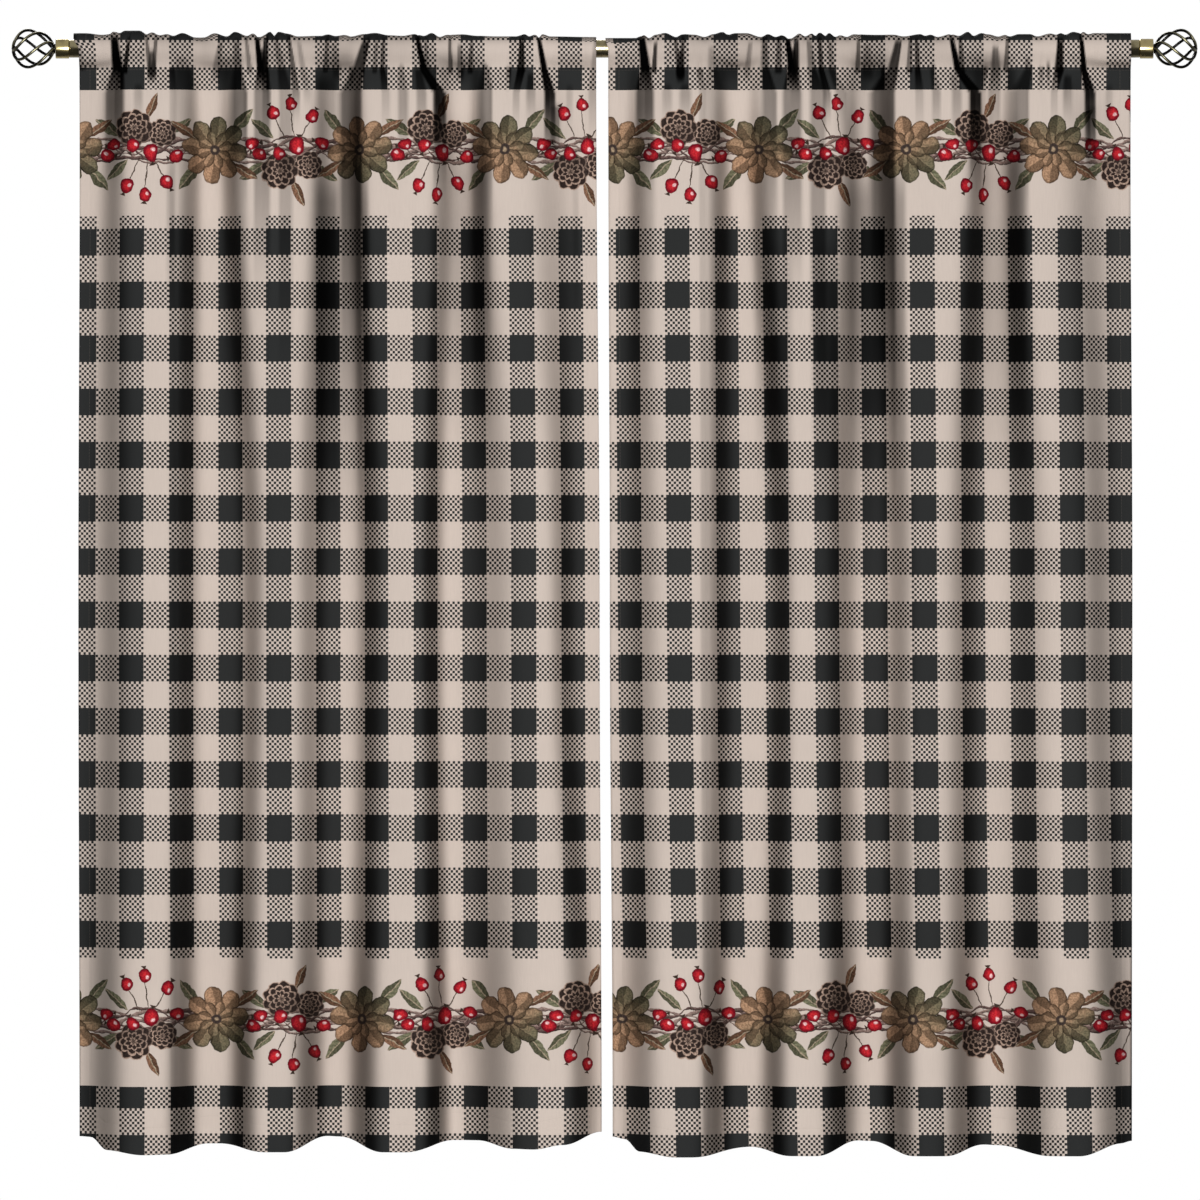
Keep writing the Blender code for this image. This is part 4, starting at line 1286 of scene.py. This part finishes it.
# One row a motif: its group, its centre, its turn (degrees), its half length and width (mm)
# and its tint or None. First those round each rosette, and then those of the sprays.
ROSETTE_MOTIFS = (
    ("leaf", -24.0, 24.0, 128.0, 15.0, 5.2, SAGE),
    ("leaf", 25.0, -25.0, -48.0, 15.0, 5.2, SAGE),
    ("leaf", 27.0, 19.0, 32.0, 14.0, 4.4, RUSSET),
    ("leaf", -28.0, -17.0, 212.0, 14.0, 4.4, RUSSET),
    ("rosette", 0.0, 0.0, 8.0, 30.0, 30.0, None),
    ("hip", -35.0, 6.0, 165.0, 6.6, 5.8, None),
    ("hip", 34.0, -5.0, -10.0, 6.6, 5.8, None),
)
SPRAY_MOTIFS = (
    ("leaf", -30.0, 19.0, 148.0, 15.0, 5.0, SAGE),
    ("leaf", 9.0, 38.0, 66.0, 13.0, 4.2, RUSSET),
    ("leaf", 33.0, 20.0, 30.0, 13.0, 4.6, SAGE),
    ("leaf", -22.0, -18.0, 222.0, 14.0, 4.4, SAGE),
    ("leaf", 4.0, -23.0, 262.0, 16.0, 0.6, STEM),
    ("leaf", -7.0, -19.0, 245.0, 14.0, 0.6, STEM),
    ("leaf", 15.0, -17.0, 300.0, 13.0, 0.6, STEM),
    ("seed head", 18.0, 14.0, 20.0, 13.0, 13.0, None),
    ("seed head", -7.0, 19.0, 0.0, 17.0, 17.0, None),
    ("hip", -13.0, -32.0, 245.0, 6.8, 5.8, None),
    ("hip", 3.0, -40.0, 262.0, 6.2, 5.4, None),
    ("hip", 22.0, -29.0, 300.0, 6.8, 5.8, None),
    ("hip", -25.0, 4.0, 190.0, 6.4, 5.6, None),
    ("hip", 8.0, -3.0, 280.0, 8.0, 7.0, None),
    ("hip", -8.0, 3.0, 250.0, 6.4, 5.6, None),
)


def make_garland(motifs):
    """The whole garland over the band's ground: twigs, sprays and rosettes, the last on top."""
    tree, given, result = new_group("Garland", {"On cloth": ORIGIN, "Ground": TAN}, {"Colour": "Color"})
    hand = noise(given["On cloth"], 120.0, 3.0, output="Color")
    wobble = {0: hand, 1: (GARLAND_WOBBLE, GARLAND_WOBBLE, 0.0), 2: given["On cloth"]}
    across, down = axes_of(add_node(tree, "VectorMath", wobble, operation="MULTIPLY_ADD"))[:2]
    is_lower = maths("GREATER_THAN", down, 0.5 * sum(GARLAND_MIDDLES))
    across = is_lower * GARLAND_REPEAT + across
    up = is_lower * (GARLAND_MIDDLES[1] - GARLAND_MIDDLES[0]) + GARLAND_MIDDLES[0] - down
    along = vector_of(across, up)
    colour = given["Ground"]
    for waves, start, height, offset, width, tint in TWIGS:
        settings = {
            "Under": colour,
            "Place": along,
            "Waves in repeat": waves,
            "Start": start,
            "Height": height / 1000.0,
            "Offset": offset / 1000.0,
            "Width": width / 1000.0,
            "Tint": tint,
        }
        colour = placed(tree, motifs["twig"], settings)["Over"]
    for rows, shift in ((SPRAY_MOTIFS, 0.5), (ROSETTE_MOTIFS, 0.0)):
        repeats = across / GARLAND_REPEAT + (0.5 - shift)
        count = maths("FLOOR", repeats)
        flip = maths("FLOORED_MODULO", count, 2.0) * -2.0 + 1.0
        place = vector_of((repeats - (count + 0.5)) * GARLAND_REPEAT, up * flip)
        for motif, x, y, turn, half_length, half_width, tint in rows:
            settings = {
                "Under": colour,
                "Place": place,
                "Centre": (x / 1000.0, y / 1000.0, 0.0),
                "Turn": (0.0, 0.0, math.radians(turn)),
                "Size": (half_length / 1000.0, half_width / 1000.0, 1.0),
            }
            if tint:
                settings["Tint"] = tint
            colour = placed(tree, motifs[motif], settings)["Over"]
    connect(result, {"Colour": colour})
    return tree


garland = make_garland({
    "rosette": make_rosette(),
    "seed head": make_seed_head(),
    "hip": make_hip(),
    "leaf": make_leaf(),
    "twig": make_twig(),
})
buffalo_check = make_buffalo_check()
weave = make_weave()
stitches = make_stitches()


def make_cloth(name, start_across, lean, is_band, is_reverse):
    """One side of the cloth: its print over the ground, the weave, the stitching's dents, and painted shade.
    """
    material, tree, shader = principled(name)
    on_cloth = attribute(tree, "on_cloth", "Vector")
    across, down = axes_of(on_cloth)[:2]
    shift = maths("POWER", down, 3.0) * lean + start_across
    on_print = vector_of(across - shift, down)
    ground = REVERSE if is_reverse else TAN
    if is_band:
        colour = placed(tree, garland, {"On cloth": on_print, "Ground": ground})["Colour"]
        if is_reverse:
            colour = blended(BAND_SHOWS_THROUGH, ground, colour)
    else:
        black = placed(tree, buffalo_check, {"On cloth": on_print})["Black"]
        if is_reverse:
            black = black * CHECK_SHOWS_THROUGH
        # The black print is darkened further by its own painted shade, stronger on steep flanks
        colour = blended(black, ground, scaled(BLACK[:3], attribute(tree, "ink_painted_shade")))
    from_side, from_foot, below_rod = axes_of(attribute(tree, "from_edges", "Vector"))
    thread, dent = 0.0, 0.0
    for from_seam, along in (
        (from_side - STITCHED_FROM_SIDE, down),
        (from_foot - STITCHED_FROM_FOOT, across),
        (below_rod - SEAM_DROP, across),
    ):
        seam = placed(tree, stitches, {"From seam": from_seam, "Along": along})
        thread = maths("MAXIMUM", seam["Thread"], thread)
        dent = seam["Height"] + dent
    colour = blended(thread * THREAD_SHOWS, colour, THREAD)
    threads = placed(tree, weave, {"On cloth": on_cloth})
    # The shade attribute is painted shade: creases, soft shadows under the gathers and steep flanks darken
    # the base colour
    connect(shader, {
        "Base Color": scaled(colour, threads["Tone"] * attribute(tree, "shade")),
        "Roughness": 0.82,
        "Specular IOR Level": 0.03,
        "Normal": bumped(threads["Height"], 0.00006, 0.5, Normal=bumped(dent, 0.0003, 0.35)),
    })
    return material


# ------------------------------------------------------------------ the two panels
# The panels are cut from one print and hang side by side, each on its half of the rod. The
# print starts at another place on each, as it does on cloth cut from one roll.

PRINT_STARTS = {"left": -0.0065, "right": 0.0061}
PRINT_LEANS = {"left": 0.0, "right": 0.0071}
CORNER_PULLS = {"left": 0.005, "right": 0.0025}
PANEL_LEFTS = {"left": -PANEL_GAP / 2.0 - PANEL_WIDTH, "right": PANEL_GAP / 2.0}

for side in ("left", "right"):
    panel, flat_width, flat_length = make_panel(side, PANEL_LEFTS[side], CORNER_PULLS[side])
    for name, is_band, is_reverse in (
        ("Check", False, False),
        ("Garland band", True, False),
        ("Check, reverse", False, True),
        ("Garland band, reverse", True, True),
    ):
        cloth = make_cloth(f"{name}, {side}", PRINT_STARTS[side], PRINT_LEANS[side], is_band, is_reverse)
        panel.data.materials.append(cloth)
    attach(panel, "root")
    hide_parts("panel_" + side)

# ------------------------------------------------------------------ the setting
# The curtain hangs in plain soft studio light, above a small pale floor. The camera looks
# straight at it from far off, so that the rows of checks stay level.

FLOOR_DROP = 1.25
FLOOR_RADIUS = 0.8
FLOOR_SIDES = 96
CAMERA_DISTANCE = 20.0
VIEW_WIDTH = 1.068
VIEW_CENTRE = (-0.004, -0.4907)

turn = np.linspace(0.0, 2.0 * np.pi, FLOOR_SIDES, endpoint=False)
rim = np.stack([FLOOR_RADIUS * np.cos(turn), FLOOR_RADIUS * np.sin(turn), 0.0 * turn - FLOOR_DROP], axis=-1)
floor = surface("floor", rim, [np.arange(FLOOR_SIDES)[None]])
floor_material, floor_tree, floor_shader = principled("Pale floor")
connect(floor_shader, {"Base Color": (0.78, 0.77, 0.75, 1.0), "Roughness": 0.9})
floor.data.materials.append(floor_material)
floor.visible_glossy = False


def add_light(name, place, aim, size, power):
    """A square soft light at a place, aimed at a point."""
    lamp = bpy.data.lights.new(name, "AREA")
    lamp.size = size
    lamp.energy = power
    holder = bpy.data.objects.new(name, lamp)
    holder.location = place
    holder.rotation_euler = (Vector(aim) - Vector(place)).to_track_quat("-Z", "Y").to_euler()
    bpy.context.scene.collection.objects.link(holder)


add_light("key light", (0.0, -3.8, 0.10), (0.0, 0.0, -0.45), 0.5, 150.0)
add_light("back light", (-0.4, 2.8, 0.9), (0.0, 0.0, -0.45), 1.4, 50.0)

# The room is white to the camera and dim to the cloth. The metals mirror a room that is grey
# above, dark below in front, and grey again low behind.
DIM_ROOM = 0.04
ROOM_ABOVE = 0.42
ROOM_IN_FRONT = 0.035
ROOM_BEHIND = 0.5

world = bpy.data.worlds.new("Studio")
world.use_nodes = True
bpy.context.scene.world = world
room = world.node_tree
towards = axes_of(add_node(room, "TexCoord", {}, "Generated"))
above = stepped(towards[2], -0.05, 0.45, ROOM_IN_FRONT, ROOM_ABOVE)
behind = stepped(towards[1], 0.1, 0.6, 0.0, ROOM_BEHIND)
mirrored = maths("MAXIMUM", above, behind)
is_mirrored = add_node(room, "LightPath", {}, "Is Glossy Ray")
is_seen = add_node(room, "LightPath", {}, "Is Camera Ray")
room_light = add_node(room, "Mix", {0: is_mirrored, 2: DIM_ROOM, 3: mirrored})
strength = add_node(room, "Mix", {0: is_seen, 2: room_light, 3: 1.0})
connect(room.nodes["Background"], {"Color": (1.0, 1.0, 1.0, 1.0), "Strength": strength})

bpy.context.scene.view_settings.view_transform = "Standard"

lens = bpy.data.cameras.new("camera")
lens.sensor_width = 36.0
lens.lens = lens.sensor_width * CAMERA_DISTANCE / VIEW_WIDTH
camera = bpy.data.objects.new("camera", lens)
camera.location = (VIEW_CENTRE[0], -CAMERA_DISTANCE, VIEW_CENTRE[1])
camera.rotation_euler = (math.pi / 2.0, 0.0, 0.0)
bpy.context.scene.collection.objects.link(camera)
bpy.context.scene.camera = camera
